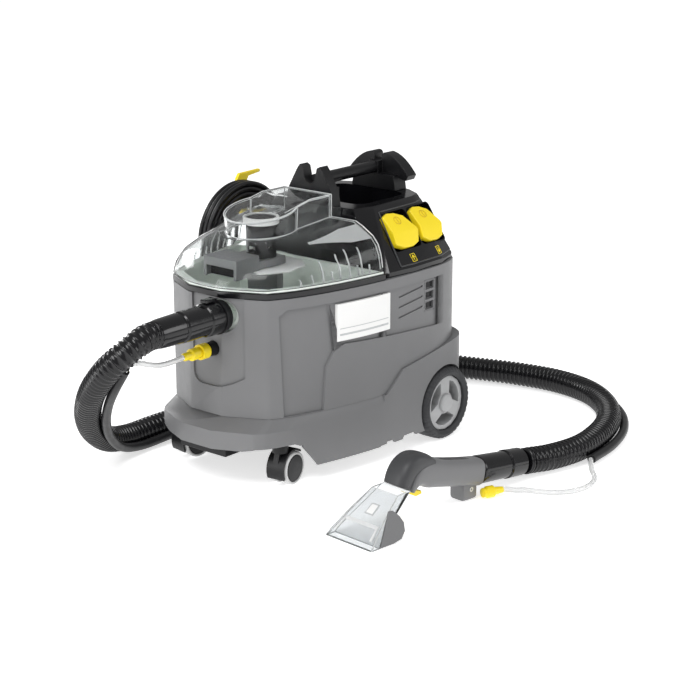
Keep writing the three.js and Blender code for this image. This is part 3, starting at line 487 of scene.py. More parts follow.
def make_hose():
    step = RIB_PITCH / 1000
    coarse = curve_points([at(*p) for p in HOSE_ROUTE], step / 8)
    total = length_of(coarse)
    ribs = round(total / step)
    stations = [(rib + along) / ribs for rib in range(ribs) for along, _ in RIB_SHAPE]
    radii = [radius / 1000 for _ in range(ribs) for _, radius in RIB_SHAPE]
    points = []
    for share in stations:
        place_on = share * (len(coarse) - 1)
        i = min(int(place_on), len(coarse) - 2)
        points.append(coarse[i].lerp(coarse[i + 1], place_on - i))
    mesh = tube_mesh("suction_hose_shape", points, radii, sides=36)
    hose = place("suction_hose_look", mesh, HOSE_BLACK, "root", ["suction_hose"])
    return hose, coarse, total


# The strip starts and ends this many route points in from the hose's ends. It lies at one angle round the
# hose, then winds to another over a few route points.
STRIP_INSET = 4
STRIP_GAP = 0.8
STRIP_START_DEGREES = -20
STRIP_TURN_DEGREES = 225
STRIP_TURN_FIRST = 11
STRIP_TURN_SPAN = 7


def ease(t):
    """Eases a share from 0 to 1 in and out, and holds it there beyond."""
    t = min(1, max(0, t))
    return t * t * (3 - 2 * t)


def strip_route():
    """The strip's line beside the hose, from under its front bend round to its outer side."""
    first = STRIP_INSET
    last = len(HOSE_ROUTE) - STRIP_INSET
    offset = (HOSE_DIAMETER + STRIP_DIAMETER) / 2 + STRIP_GAP
    points = [Vector(p) for p in HOSE_ROUTE]
    route = []
    for i in range(first, last + 1):
        tangent = (points[i + 1] - points[i - 1]).normalized()
        right = Vector((tangent.y, -tangent.x, 0)).normalized()
        upward = right.cross(tangent)
        wound = ease((i - STRIP_TURN_FIRST) / STRIP_TURN_SPAN)
        angle = math.radians(STRIP_START_DEGREES + STRIP_TURN_DEGREES * wound)
        route.append(points[i] + (right * math.cos(angle) + upward * math.sin(angle)) * offset)
    return route


STRIP_ROUTE = strip_route()


def beyond(start, toward, distance):
    """A point a distance past the start, away from its neighbour."""
    return Vector(start) + (Vector(start) - Vector(toward)).normalized() * distance


def make_strip():
    points = curve_points([at(*p) for p in STRIP_ROUTE], 0.008)
    radii = [STRIP_DIAMETER / 2000] * len(points)
    mesh = tube_mesh("tube_channel_shape", points, radii, sides=20)
    return place("tube_channel_look", mesh, STRIP_BLACK, "root", ["tube_channel"])


FRONT_TUBE = [
    (-240.3, -14, 206), (-262, -15, 205), (-288, -18, 207), (-311, -20, 213), (-328, -18, 219),
    beyond(STRIP_ROUTE[0], STRIP_ROUTE[1], 15), beyond(STRIP_ROUTE[0], STRIP_ROUTE[1], 1.5),
]
TOOL_MM = Vector((-235, -318, 0))
TOOL_TURN = Matrix.Rotation(-0.09, 3, "Z")


def on_tool(along, across, height):
    """A point of the hand tool, in machine millimetres. Its mouth is at its origin, its handle runs to +X."""
    return TOOL_MM + TOOL_TURN @ Vector((along, across, height))


COUPLING_START = Vector((252.6, -19, 9.6))
COUPLING_DIRECTION = Vector((0.94, -0.34, 0))
COUPLING_LENGTH = 34
TOOL_TUBE = [
    on_tool(*(COUPLING_START + COUPLING_DIRECTION * (COUPLING_LENGTH + 2))), on_tool(298, -42, 8),
    (74, -396, 5.5), (84, -417, 4.8), (99, -438, 4.8), (122, -452, 4.8), (152, -455, 4.8), (181, -445, 5),
    (203, -426, 7), beyond(STRIP_ROUTE[-1], STRIP_ROUTE[-2], 2.5),
]


def make_spray_tube(name, route):
    """A clear tube along a route."""
    points = curve_points([at(*p) for p in route], 0.003)
    mesh = tube_mesh(name + "_shape", points, [TUBE_DIAMETER / 2000] * len(points), sides=16)
    piece = place(name + "_look", mesh, TUBE, "root", [name])


# The mains cable is wound on the two hooks in upright turns, up to five within one another in three layers.
HANK = {"x": 85, "y": 172, "top": 388, "bottom": 150, "width": 180}
TURN_RADII = [86.0, 77.6, 69.2, 60.8, 52.4]
LAYER_Y = [163.5, 172.0, 180.5]
WOUND_TURNS = 13
GLAND_DIRECTION = Vector((-0.8, 0.6, 0))
GLAND_TIP = Vector((226, 145, 236)) + GLAND_DIRECTION * 37.5
LEAD_BEND = 21.5
PLUG_TOP = (66, 172, 292.4)
LAST_LOOP = {"x": 100, "y": 181, "z": 316, "radius": 34, "slant": 9}
# A turn is drawn in this many steps. Late in each turn the cable moves over to the next turn's place.
TURN_STEPS = 28
FIRST_STEP = 4
CROSS_START = 0.62
CROSS_SPAN = 0.3


def stadium_point(turn, radius):
    """A point of the upright loop. Turn 0 is the rear side's foot, rising."""
    high = HANK["top"] - HANK["width"] / 2
    low = HANK["bottom"] + HANK["width"] / 2
    straight = high - low
    arc = math.pi * radius
    along = (turn % 1) * 2 * (straight + arc)
    if along < straight:
        return HANK["x"] + radius, low + along
    along -= straight
    if along < arc:
        angle = along / radius
        return HANK["x"] + radius * math.cos(angle), high + radius * math.sin(angle)
    along -= arc
    if along < straight:
        return HANK["x"] - radius, high - along
    angle = math.pi + (along - straight) / radius
    return HANK["x"] + radius * math.cos(angle), low + radius * math.sin(angle)


def cable_route():
    """The lead's bend up from the gland, then the wound turns, slightly uneven."""
    random.seed(5)
    route = []
    for degrees in (0, 30, 60, 90):
        angle = math.radians(degrees)
        ahead = GLAND_DIRECTION * LEAD_BEND * math.sin(angle)
        route.append(tuple(GLAND_TIP + ahead + Vector((0, 0, LEAD_BEND * (1 - math.cos(angle))))))
    route += [(179.4, 177, 270), (179, 169, 288), (177, 164.5, 304)]
    slots = []
    for layer, y in enumerate(LAYER_Y):
        radii = TURN_RADII if layer % 2 == 0 else TURN_RADII[::-1]
        slots += [(radius, y) for radius in radii]
    for k in range(FIRST_STEP, WOUND_TURNS * TURN_STEPS + 1):
        turn = k / TURN_STEPS
        here = min(int(turn), WOUND_TURNS - 1)
        following = min(here + 1, WOUND_TURNS)
        share = ease(((turn % 1) - CROSS_START) / CROSS_SPAN) if turn < WOUND_TURNS else 1
        radius = slots[here][0] * (1 - share) + slots[following][0] * share
        y = slots[here][1] * (1 - share) + slots[following][1] * share
        x, z = stadium_point(turn, radius)
        route.append((x + random.uniform(-0.25, 0.25), y + random.uniform(-0.2, 0.2), z))
    return route


def make_cable():
    """The whole mains cable. Its last stretch rises at the rear, turns over and comes down into the plug."""
    route = cable_route()
    route += [(141, LAST_LOOP["y"], 282), (135, LAST_LOOP["y"], 304)]
    for degrees in range(15, 181, 22):
        angle = math.radians(degrees)
        route.append((LAST_LOOP["x"] + LAST_LOOP["radius"] * math.cos(angle),
                      LAST_LOOP["y"] - LAST_LOOP["slant"] * degrees / 180,
                      LAST_LOOP["z"] + LAST_LOOP["radius"] * math.sin(angle)))
    route.append(PLUG_TOP)
    points = curve_points([at(*p) for p in route], 0.004)
    mesh = tube_mesh("cable_winding_shape", points, [CABLE_DIAMETER / 2000] * len(points), sides=14)
    cable = place("mains_cable_look", mesh, CABLE_BLACK, "root",
                  ["cable_winding", "cable_lead"])
    return cable, points


hose, hose_path, hose_length = make_hose()
strip = make_strip()
make_spray_tube("spray_tube_front", FRONT_TUBE)
make_spray_tube("spray_tube_tool", TOOL_TUBE)
cable, cable_path = make_cable()
gland = refine("cable_gland", CABLE_BLACK, 0.6)
plug = refine("mains_plug", BLACK, 1.0)

# ---------- refined CAD pieces ----------

REFINED = {
    "console": (GLOSSY_BLACK, 2.0), "handle_bar": (BLACK, 2.0), "rear_horn": (BLACK, 2.0),
    "hose_cuff": (GLOSSY_BLACK, 0.4), "tool_cuff": (GLOSSY_BLACK, 0.4), "port_latch": (GLOSSY_BLACK, 1.0),
    "suction_inlet": (BLACK, 0.4), "float_pot": (GLOSSY_BLACK, 0.5), "base_pan": (BLACK, 1.5),
    "cable_hook_lower": (BLACK, 1.5), "switch_block": (BLACK, 1.0),
    "suction_duct": (MID_GREY, 1.5), "spray_socket": (BLACK, 0.4), "caster_hood_near": (BLACK, 1.2),
    "caster_hood_far": (BLACK, 1.2), "water_pump": (BLACK, 1.5), "rim_seal": (GLOSSY_BLACK, 1.5),
    "cable_hook_upper": (YELLOW, 1.5),
    "spray_coupling": (YELLOW, 0.4), "coupling_collar": (YELLOW, 0.6), "tool_coupling": (YELLOW, 0.4),
    "tool_trigger": (YELLOW, 0.4), "nozzle_cover": (COVER_CLEAR, 1.0),
    "waste_container": (TANK, 1.2), "pot_ring": (WHITE, 0.6),
    "float_ball": (WHITE, 0), "water_filter": (WHITE, 1.0), "wheel_hub_near": (LIGHT_GREY, 1.0),
    "wheel_hub_far": (LIGHT_GREY, 1.0), "axle_cap_near": (LIGHT_GREY, 0.8),
    "axle_cap_far": (LIGHT_GREY, 0.8), "suction_turbine": (STEEL, 1.0), "rear_axle": (STEEL, 0.8),
}
for node, (material, width) in REFINED.items():
    refine(node, material, width)

# ---------- body and chassis ----------

BODY_CORNER = (-149, 95)
SKIRT_CORNER = (-178, 91)
CORNER_BEVEL = 4.5
SLOT_Y = 157


def machine(point):
    """A frame point in machine millimetres."""
    return (point - SHIFT) * 1000


def bevel_corner(bm, corner, reach=3):
    """Bevels the edges that bend clearly and lie within reach of a plan corner, on both sides."""
    chosen = []
    for edge in bm.edges:
        if edge.is_boundary or abs(edge.calc_face_angle_signed(0)) < math.radians(14):
            continue
        ends = [machine(v.co) for v in edge.verts]
        if all(abs(p.x - corner[0]) < reach and abs(abs(p.y) - corner[1]) < reach for p in ends):
            chosen.append(edge)
    if chosen:
        bmesh.ops.bevel(bm, geom=chosen, offset=CORNER_BEVEL / 1000, segments=1, profile=0.5,
                        affect="EDGES", clamp_overlap=True)


def slot_cutter(x, y):
    """A bar with sloping ends that cuts one drain slot through the foot of the skirt."""
    outline = [(x - 17, 24), (x - 13, 31), (x + 13, 31), (x + 17, 24)]
    mesh = block("slot_cutter", outline, y - 6, y + 6, axis="y", bevel=0)
    cutter = add_object("slot_cutter", mesh)
    cutter.hide_render = True
    return cutter


refine("body_shell", GREY, 0.9, edit=lambda bm: bevel_corner(bm, BODY_CORNER))
refine("chassis", GREY, 1.2, edit=lambda bm: bevel_corner(bm, SKIRT_CORNER),
       holes=[slot_cutter(x, side * SLOT_Y) for x in (54, 104) for side in (-1, 1)])

# ---------- name plate and vent ----------

# The plate's curve from its front to its rear end. It stands proud of the recess, and the plate is thick
# enough to reach back to the recess.
PLATE_FRONT_Y = -135.6
PLATE_REAR_Y = -151.4
PLATE_CROWN = 13.0
PLATE_X = (-43, 60)
PLATE_Z = (208, 264)
PRINT_X = (-39, 56)
PLATE_BACK = -3.8
PLATE_FACE = 1.2
PRINT_LIFT = (1.1, 1.35)
plate_low, plate_high = (machine(Vector(c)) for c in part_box("name_plate"))


def plate_point(x, z, lift):
    """A point on the plate's curve, lifted off it, in machine millimetres."""
    share = (x - plate_low.x) / (plate_high.x - plate_low.x)
    near_y = PLATE_FRONT_Y * (1 - share) + PLATE_REAR_Y * share - PLATE_CROWN * share * (1 - share)
    return x, near_y - lift, z


def curved_panel(name, ends, heights, lifts, material, stands_for=(), steps=16):
    """A panel that follows the plate's curve, between two ends, two heights and two lifts."""
    x0, x1 = ends
    z0, z1 = heights
    low, high = lifts
    rings = []
    for i in range(steps + 1):
        x = x0 + (x1 - x0) * i / steps
        rings.append([plate_point(x, z0, low), plate_point(x, z1, low), plate_point(x, z1, high),
                      plate_point(x, z0, high)])
    mesh = loft(rings)
    smooth(mesh, 30)
    place(name, mesh, material, "root", stands_for)


curved_panel("name_plate_look", PLATE_X, PLATE_Z, (PLATE_BACK, PLATE_FACE), WHITE, ["name_plate"])
curved_panel("name_plate_band", PRINT_X, (216, 219), PRINT_LIFT, SILVER)
curved_panel("name_plate_line", PRINT_X, (226, 227.2), PRINT_LIFT, SILVER)
refine("vent_grille", GREY, 0.4)
# Black blocks sit in the grille's slots as painted shade in the openings.
VENT_FACE_Y = -149.1
VENT_BACK_Y = -148.3
for row, z in enumerate((219, 235, 251)):
    for column, x in enumerate((147.6, 154.2, 160.8)):
        hole = rectangle(x, x + 5.4, z + 1.5, z + 9.5)
        painted_shade = block(f"vent_slot_{row}_{column}_shape", hole, VENT_FACE_Y, VENT_BACK_Y, axis="y", bevel=0)
        place(f"vent_slot_{row}_{column}", painted_shade, BLACK, "root")

# ---------- switches ----------

SWITCH_TILT = math.atan2(90, 62)
SWITCH_MIDDLE = {"y": -115.5, "z": 342}
SWITCHES = {"spray": 130, "suction": 193}


def on_slope(x, across, up, out):
    """A point on the switch slope: along the machine, up the slope and out from it."""
    tilted = Matrix.Rotation(SWITCH_TILT, 3, "X") @ Vector((across, up, out))
    return at(x + tilted.x, SWITCH_MIDDLE["y"] + tilted.y, SWITCH_MIDDLE["z"] + tilted.z)


CONSOLE_FOOT = [(66, 146), (120, 152), (190, 151), (234, 136), (253, 99)]
CONSOLE_TOP = [(96, 91), (150, 90), (195, 89), (220, 80), (236, 52)]
CONSOLE_LOW_Z = 292
CONSOLE_RISE = 85
CONSOLE_NORMAL = {"y": 0.8, "z": 0.6}


def console_skin(x, share, out=0.0):
    """A point on the console's near slope, at a share of its height and lifted off it."""
    corners = [(a[0] + (b[0] - a[0]) * share, a[1] + (b[1] - a[1]) * share)
               for a, b in zip(CONSOLE_FOOT, CONSOLE_TOP)]
    y = along_line(corners, x)
    if y is None:
        y = corners[0][1]
    return at(x, -y - out * CONSOLE_NORMAL["y"],
              CONSOLE_LOW_Z + CONSOLE_RISE * share + out * CONSOLE_NORMAL["z"])


LINE_STEP = 5
SIGN_LOW = 0.1
SIGN_HIGH = 0.18
SIGN_LIFT = 0.1


def console_line(name, stops, width, out, material):
    """A fine raised line on the console slope through stops (x, share of the height)."""
    path = []
    for (x0, s0), (x1, s1) in zip(stops, stops[1:]):
        steps = max(2, int(abs(x1 - x0) / LINE_STEP) + 1)
        for k in range(steps):
            path.append(console_skin(x0 + (x1 - x0) * k / steps, s0 + (s1 - s0) * k / steps, out))
    path.append(console_skin(*stops[-1], out))
    mesh = tube_mesh(name + "_shape", path, [width / 2000] * len(path), sides=8)
    place(name, mesh, material, "root")


# A fine raised line marks the frame round the switches. Its dark grey, lighter than the glossy black console,
# is painted highlight on the frame's edges.
console_line("panel_frame_highlight", [(94, 0.05), (103, 0.93), (222, 0.93), (234, 0.05), (94, 0.05)], 2.4, 0.0,
             DARK_GREY)
# Under each switch a small framed arrow stands, which points up for spray and down for suction.
SIGNS = {"spray": (128, SIGN_HIGH), "suction": (193, SIGN_LOW)}
for name, (x, tip) in SIGNS.items():
    frame_line = [(x - 5, 0.08), (x - 5, 0.2), (x + 5, 0.2), (x + 5, 0.08), (x - 5, 0.08)]
    stem_line = [(x, SIGN_LOW), (x, SIGN_HIGH)]
    tip_line = [(x - 3, 0.14), (x, tip), (x + 3, 0.14)]
    for part, line, width in (("frame", frame_line, 1.0), ("stem", stem_line, 1.4), ("tip", tip_line, 1.0)):
        console_line(f"{name}_sign_{part}", line, width, SIGN_LIFT, YELLOW)


def circle(radius, across, up, count=28):
    """Points (across, up) evenly round a circle."""
    return [(across + radius * math.cos(angle), up + radius * math.sin(angle)) for angle in around(count)]


def rocker_height(up):
    """Height of the rocker's face above the slope, with its ridge just below the middle."""
    past_ridge = up + 4
    if past_ridge > 0:
        return 9 - 6.5 * past_ridge / 34
    return 9 + 6 * past_ridge / 26


MARK_X = -3
MARK_LIFT = 0.1
for name, x in SWITCHES.items():
    refine(f"rocker_{name}", YELLOW, 1.6, segments=3, angle=28)
    body_name = BODY_OF[f"rocker_{name}"]
    ring = [on_slope(x, across, up, rocker_height(up) + MARK_LIFT) for across, up in circle(6.5, MARK_X, 14)]
    ring.append(ring[0].lerp(ring[1], 0.001))
    line = [on_slope(x, MARK_X, up, rocker_height(up) + MARK_LIFT) for up in (9, 14, 19)]
    # The marks are drawn in the darker yellow, as painted shade of the embossing.
    for part, path, radius in (("ring", ring, 0.0006), ("line", line, 0.0007)):
        mesh = tube_mesh(f"{name}_mark_{part}_shape", path, [radius] * len(path), sides=8)
        place(f"{name}_mark_{part}", mesh, SHADE_YELLOW, body_name)

# ---------- wheels ----------

LUGS = 36
STEPS_PER_LUG = 6
GROOVE_DEPTH = 1.2
AXLE_Z = 58.2
WHEEL_Y = 142


def make_tyre(side, middle):
    """A tyre whose shoulders carry shallow lugs."""
    profile = [(44.3, -19), (50, -22), (54.5, -20.5), (57.6, -16), (58.2, -9), (58.2, 9), (57.6, 16),
               (54.5, 20.5), (50, 22), (44.3, 19)]
    points = []
    count = LUGS * STEPS_PER_LUG
    for k, angle in enumerate(around(count)):
        in_groove = k % STEPS_PER_LUG in (0, 1)
        for radius, across in profile:
            on_shoulder = radius > 54 and abs(across) > 12
            r = radius - (GROOVE_DEPTH if in_groove and on_shoulder else 0)
            points.append(at(AXLE_X_MM + r * math.sin(angle), middle + across, AXLE_Z + r * math.cos(angle)))
    faces = []
    rows = len(profile)
    for k in range(count):
        for i in range(rows):
            a = k * rows + i
            b = k * rows + (i + 1) % rows
            c = ((k + 1) % count) * rows + (i + 1) % rows
            d = ((k + 1) % count) * rows + i
            faces.append((a, d, c, b))
    mesh = mesh_from(f"tyre_{side}_shape", points, faces)
    smooth(mesh, 32)
    place(f"tyre_{side}_look", mesh, RUBBER, f"wheel_{side}", [f"tyre_{side}"])


for side, sign in SIDES:
    make_tyre(side, sign * WHEEL_Y)

# ---------- casters ----------

CASTER_TURN = math.radians(8)
CASTER_X = -128
CASTER_Y = 98
# The caster wheels' axle, from the foot of the stem: how far it trails and how high it is.
CASTER_AXLE = Vector((14, 0, 25.2))
DISC_PROFILE = [(3.3, 5.2), (19.6, 5.2), (20.6, 6.0), (20.6, 15.2), (19.2, 17.0), (10, 17.7), (3, 17.9)]
TREAD_PROFILE = [(20.7, 5.4), (23.7, 5), (25.2, 7), (25.2, 14.4), (24.2, 16.4), (22.2, 17.2), (20.7, 16.4),
                 (20.7, 5.4)]

for side, sign in SIDES:
    swivel = Matrix.Rotation(-sign * CASTER_TURN, 3, "Z")
    direction = swivel @ Vector((0, 1, 0))
    centre = Vector((CASTER_X, sign * CASTER_Y, 0)) + swivel @ CASTER_AXLE
    for hand, turn in (("left", 1), ("right", -1)):
        node = f"caster_wheel_{side}_{hand}"
        name = f"caster_{side}_{hand}"
        disc = turned(name + "_disc_shape", DISC_PROFILE, centre, direction * turn)
        place(name + "_disc", disc, BLACK, BODY_OF[node], [node])
        tread = turned(name + "_tread_shape", TREAD_PROFILE, centre, direction * turn)
        place(name + "_tread", tread, TREAD, BODY_OF[node])

# ---------- clear lid ----------

LID_LEVELS = [
    {"front": -181, "corner": (-150, 92), "side": [(-108, 113), (-40, 133), (49, 147)]},
    {"front": -136, "corner": (-108, 80), "side": [(-66, 98), (0, 116), (49, 128)]},
    {"front": -118, "corner": (-92, 60), "side": [(-58, 72), (0, 86), (49, 95)]},
]
LID_FRONT_X = -181
LID_REAR_X = 49
# Each ring of the dome: its station, and its height at the lid's front and rear.
DOME_RINGS = [(0.0, 297.6, 297.6), (0.04, 304, 304), (0.12, 313, 315), (0.22, 319, 324), (0.5, 331, 338),
              (1.0, 341, 349), (1.6, 347, 361), (2.0, 350, 367)]
TURRET = {"x": -56, "radius": 55, "front": 379, "rear": 401, "half_width": 47, "foot": 310}
TURRET_RINGS = ((306, 0.0), (330, 0.0), (352, 1.0), (None, 2.5))
LID_WALL = 2.6


def spline(points, per_span):
    """Points on a uniform Catmull-Rom curve through tuples of any length, its ends included."""
    result = []
    count = len(points)
    for i in range(count - 1):
        p0 = Vector(points[max(i - 1, 0)])
        p1 = Vector(points[i])
        p2 = Vector(points[i + 1])
        p3 = Vector(points[min(i + 2, count - 1)])
        for k in range(per_span):
            t = k / per_span
            v0 = (p2 - p0) * 0.5
            v1 = (p3 - p1) * 0.5
            result.append((2 * p1 - 2 * p2 + v0 + v1) * t ** 3 + (-3 * p1 + 3 * p2 - 2 * v0 - v1) * t ** 2
                          + v0 * t + p1)
    result.append(Vector(points[-1]))
    return result


def lid_outline(station, inset):
    """Plan outline of the lid at a station from its foot (0) over the shoulder (1) to the crest (2)."""
    index = min(int(station), 1)
    lower = LID_LEVELS[index]
    upper = LID_LEVELS[index + 1]
    t = station - index

    def mixed(a, b):
        return a + (b - a) * t

    front = mixed(lower["front"], upper["front"]) + inset
    corner = [mixed(a, b) for a, b in zip(lower["corner"], upper["corner"])]
    side = [(corner[0] + inset, corner[1] - inset)]
    for i, (a, b) in enumerate(zip(lower["side"], upper["side"])):
        side.append((mixed(a[0], b[0]) - (inset if i == 2 else 0), mixed(a[1], b[1]) - inset))
    far = spline(side, 10)
    corner_x, corner_y = side[0]
    control = Vector((2 * front - corner_x, 0))
    front_points = []
    for k in range(1, 20):
        t2 = k / 20
        a = Vector((corner_x, corner_y)) * (1 - t2) ** 2
        front_points.append(a + control * 2 * t2 * (1 - t2) + Vector((corner_x, -corner_y)) * t2 ** 2)
    near = [Vector((p.x, -p.y)) for p in far]
    return far[::-1] + front_points + near


def lid_share(x):
    """How far along the lid x is, from 0 at its front to 1 at its rear."""
    return (x - LID_FRONT_X) / (LID_REAR_X - LID_FRONT_X)


def lid_solid(inset):
    """Dome, turret and roof of the lid as three closed mesh objects, moved inwards by an inset."""
    rings = []
    for station, z_front, z_rear in DOME_RINGS:
        # the inner form's lowest ring goes below the outer one, so that the lid is open underneath
        drop = inset if station > 0 else 6 if inset else 0
        rings.append([(p.x, p.y, z_front + (z_rear - z_front) * lid_share(p.x) - drop)
                      for p in lid_outline(station, inset)])
    forms = [rings]
    rear = LID_REAR_X - inset
    turret_rings = []
    for low, grow in TURRET_RINGS:
        ring_points = []
        for angle in around(64):
            radius = TURRET["radius"] - inset - 2.5 + grow
            x = TURRET["x"] + radius * math.cos(angle)
            y = radius * math.sin(angle)
            share = (x - TURRET["x"] + TURRET["radius"]) / (2 * TURRET["radius"])
            top = TURRET["front"] + (TURRET["rear"] - TURRET["front"]) * share - inset
            ring_points.append((x, y, top if low is None else low))
        turret_rings.append(ring_points)
    forms.append(turret_rings)
    half = TURRET["half_width"] - inset
    middle_top = (TURRET["front"] + TURRET["rear"]) / 2
    roof = [(TURRET["x"], TURRET["foot"]), (rear, TURRET["foot"]), (rear, TURRET["rear"] - inset),
            (TURRET["x"] + TURRET["radius"], TURRET["rear"] - inset), (TURRET["x"], middle_top - inset)]
    forms.append([[(x, -half, z) for x, z in roof], [(x, half, z) for x, z in roof]])
    return [add_object("loft", loft(form)) for form in forms]


def combine(base, others, operation):
    """Boolean of one mesh object with others, which are then removed."""
    for other in others:
        modifier = base.modifiers.new("combine", "BOOLEAN")
        modifier.operation = operation
        modifier.solver = "EXACT"
        modifier.object = other
    bpy.context.view_layer.update()
    apply_modifiers(base)
    for other in others:
        bpy.data.objects.remove(other)
    return base


outer = lid_solid(0)
inner = lid_solid(LID_WALL)
lid_form = combine(outer[0], outer[1:], "UNION")
lid_core = combine(inner[0], inner[1:], "UNION")
lid_form = combine(lid_form, [lid_core], "DIFFERENCE")
lid_mesh = lid_form.data
bpy.data.objects.remove(lid_form)
smooth(lid_mesh, 26)
place("container_lid_look", lid_mesh, CLEAR, "lid", ["container_lid"])


BEAD_SIDES = 6


def edge_highlight_beads(name, mesh, radius, angle, body, keep):
    """Fine beads along the sharp edges of a clear piece, half clear and whiter than it: painted highlight
    where the edges catch the light.
    """
    bm = bmesh.new()
    bm.from_mesh(mesh)
    bmesh.ops.remove_doubles(bm, verts=bm.verts, dist=0.0002)
    used = bmesh.new()
    for edge in bm.edges:
        if edge.is_boundary or len(edge.link_faces) != 2 or edge.calc_face_angle(0) < math.radians(angle):
            continue
        a, b = (machine(v.co) for v in edge.verts)
        if not keep(a) or not keep(b):
            continue
        start, end = (v.co.copy() for v in edge.verts)
        direction = end - start
        if direction.length < 0.0005:
            continue
        side = direction.orthogonal().normalized()
        other = direction.normalized().cross(side)
        rings = []
        for point in (start, end):
            rings.append([used.verts.new(point + (side * math.cos(t) + other * math.sin(t)) * radius)
                          for t in around(BEAD_SIDES)])
        for k in range(BEAD_SIDES):
            following = (k + 1) % BEAD_SIDES
            used.faces.new((rings[0][k], rings[0][following], rings[1][following], rings[1][k]))
        used.faces.new(rings[0][::-1])
        used.faces.new(rings[1])
    result = bpy.data.meshes.new(name + "_shape")
    used.to_mesh(result)
    used.free()
    bm.free()
    smooth(result, 50)
    place(name, result, CLEAR_HIGHLIGHT, body)


# Painted highlight beads along the lid's crest, rear and side edges.
edge_highlight_beads("lid_highlight_beads", lid_mesh, 0.0009, 30, "lid",
           lambda p: p.z > 300 and (abs(p.x - LID_REAR_X) < 1.2 or abs(p.y) > 40 or p.z > 340))


RIB_INSET = 2.4
RIB_DEPTH = 2.2
RIB_FOOT_Z = 299
RIB_STEPS = 6


def ring_heights(x):
    """The height of each dome ring at x, as (station, height)."""
    return [(station, front + (rear - front) * lid_share(x)) for station, front, rear in DOME_RINGS]


def lid_wall_y(x, z):
    """Half width inside the lid's wall at a place, by the ring that has that height there."""
    station = along_line([(height, station) for station, height in ring_heights(x)], z)
    side = [p for p in lid_outline(station, RIB_INSET) if p.y > 0]
    return min(side, key=lambda p: abs(p.x - x)).y


# Upright ribs inside the lid's walls: where along the machine, and the height of the top.
LID_RIBS = ((-97, 308), (-78, 312), (-60, 330), (-44, 312), (-30, 334), (-12, 338), (4, 314), (12, 338),
            (26, 312))
# The ribs take the whiter, half-clear material: painted highlight along them.
for index, (x, top) in enumerate(LID_RIBS):
    for side, sign in SIDES:
        levels = [RIB_FOOT_Z + (top - RIB_FOOT_Z) * k / RIB_STEPS for k in range(RIB_STEPS + 1)]
        outline = [(sign * lid_wall_y(x, z), z) for z in levels]
        outline += [(sign * (lid_wall_y(x, z) - RIB_DEPTH), z) for z in levels[::-1]]
        mesh = block(f"lid_rib_{side}_{index}_shape", outline, x - 0.8, x + 0.8, axis="x", bevel=0)
        place(f"lid_rib_{side}_{index}", mesh, CLEAR_HIGHLIGHT, "lid")


def lid_shoulder_point(station, x, sign, depth):
    """A point under the lid's sloping band, at a depth below its outer face. Machine millimetres."""
    outline = sorted(((p.x, p.y) for p in lid_outline(station, 0) if p.y > 0), key=lambda point: point[0])
    return x, sign * along_line(outline, x), along_line(ring_heights(x), station) - depth


# A frosted panel lies under each sloping band, broad at the rear and narrow in front.
PANEL_FRONT_X = -52
PANEL_LENGTH = 98
PANEL_STEPS = 14
PANEL_STATION = 1.47
PANEL_SHARES = (-1, -0.33, 0.33, 1)
PANEL_DEPTHS = (3.4, 4.4)
for side, sign in SIDES:
    rings = []
    for k in range(PANEL_STEPS + 1):
        x = PANEL_FRONT_X + PANEL_LENGTH * k / PANEL_STEPS
        spread = 0.06 + 0.38 * min(1, k / 9) ** 1.4
        upper, lower = ([lid_shoulder_point(PANEL_STATION + share * spread, x, sign, depth)
                         for share in PANEL_SHARES] for depth in PANEL_DEPTHS)
        rings.append(upper + lower[::-1])
    mesh = loft(rings)
    smooth(mesh)
    place(f"lid_panel_{side}", mesh, FROSTED, "lid")

# ---------- under the lid ----------

TRAY_OUTLINE = [(-98, -34), (-60, -56), (-14, -50), (8, -22), (8, 22), (-14, 50), (-60, 56), (-98, 34)]
tray = block("pot_tray_shape", TRAY_OUTLINE, 302.5, 305, bevel=0.8)
place("pot_tray", tray, WHITE, "container")
mouth_shade = block("duct_mouth_shade_shape", rectangle(-122, -88, -18.2, 40.2), 299, 323.2, bevel=0)
place("duct_mouth_shade", mouth_shade, BLACK, "container")

# ---------- hand tool ----------


SWEEP_STEPS = 8


def rounded_wave(value, power):
    """A sine or cosine flattened so that a section becomes squarer as the power grows."""
    return math.copysign(abs(value) ** (2 / power), value)


def sweep(name, sections, material, stands_for=(), power=3.0, count=32):
    """A smooth body through rounded sections in the tool's upright plane.

    Each section is (along, height, heading in degrees, half height, half width) in millimetres."""
    rings = []
    for along, height, heading, half_height, half_width in spline(sections, SWEEP_STEPS):
        normal = Vector((-math.sin(math.radians(heading)), 0, math.cos(math.radians(heading))))
        ring_points = []
        for angle in around(count):
            across = rounded_wave(math.cos(angle), power) * half_width
            up = rounded_wave(math.sin(angle), power) * half_height
            local = Vector((along, across, height)) + normal * up
            ring_points.append(tuple(on_tool(*local)))
        rings.append(ring_points)
    mesh = loft(rings)
    smooth(mesh, 50)
    place(name, mesh, material, "root", stands_for)


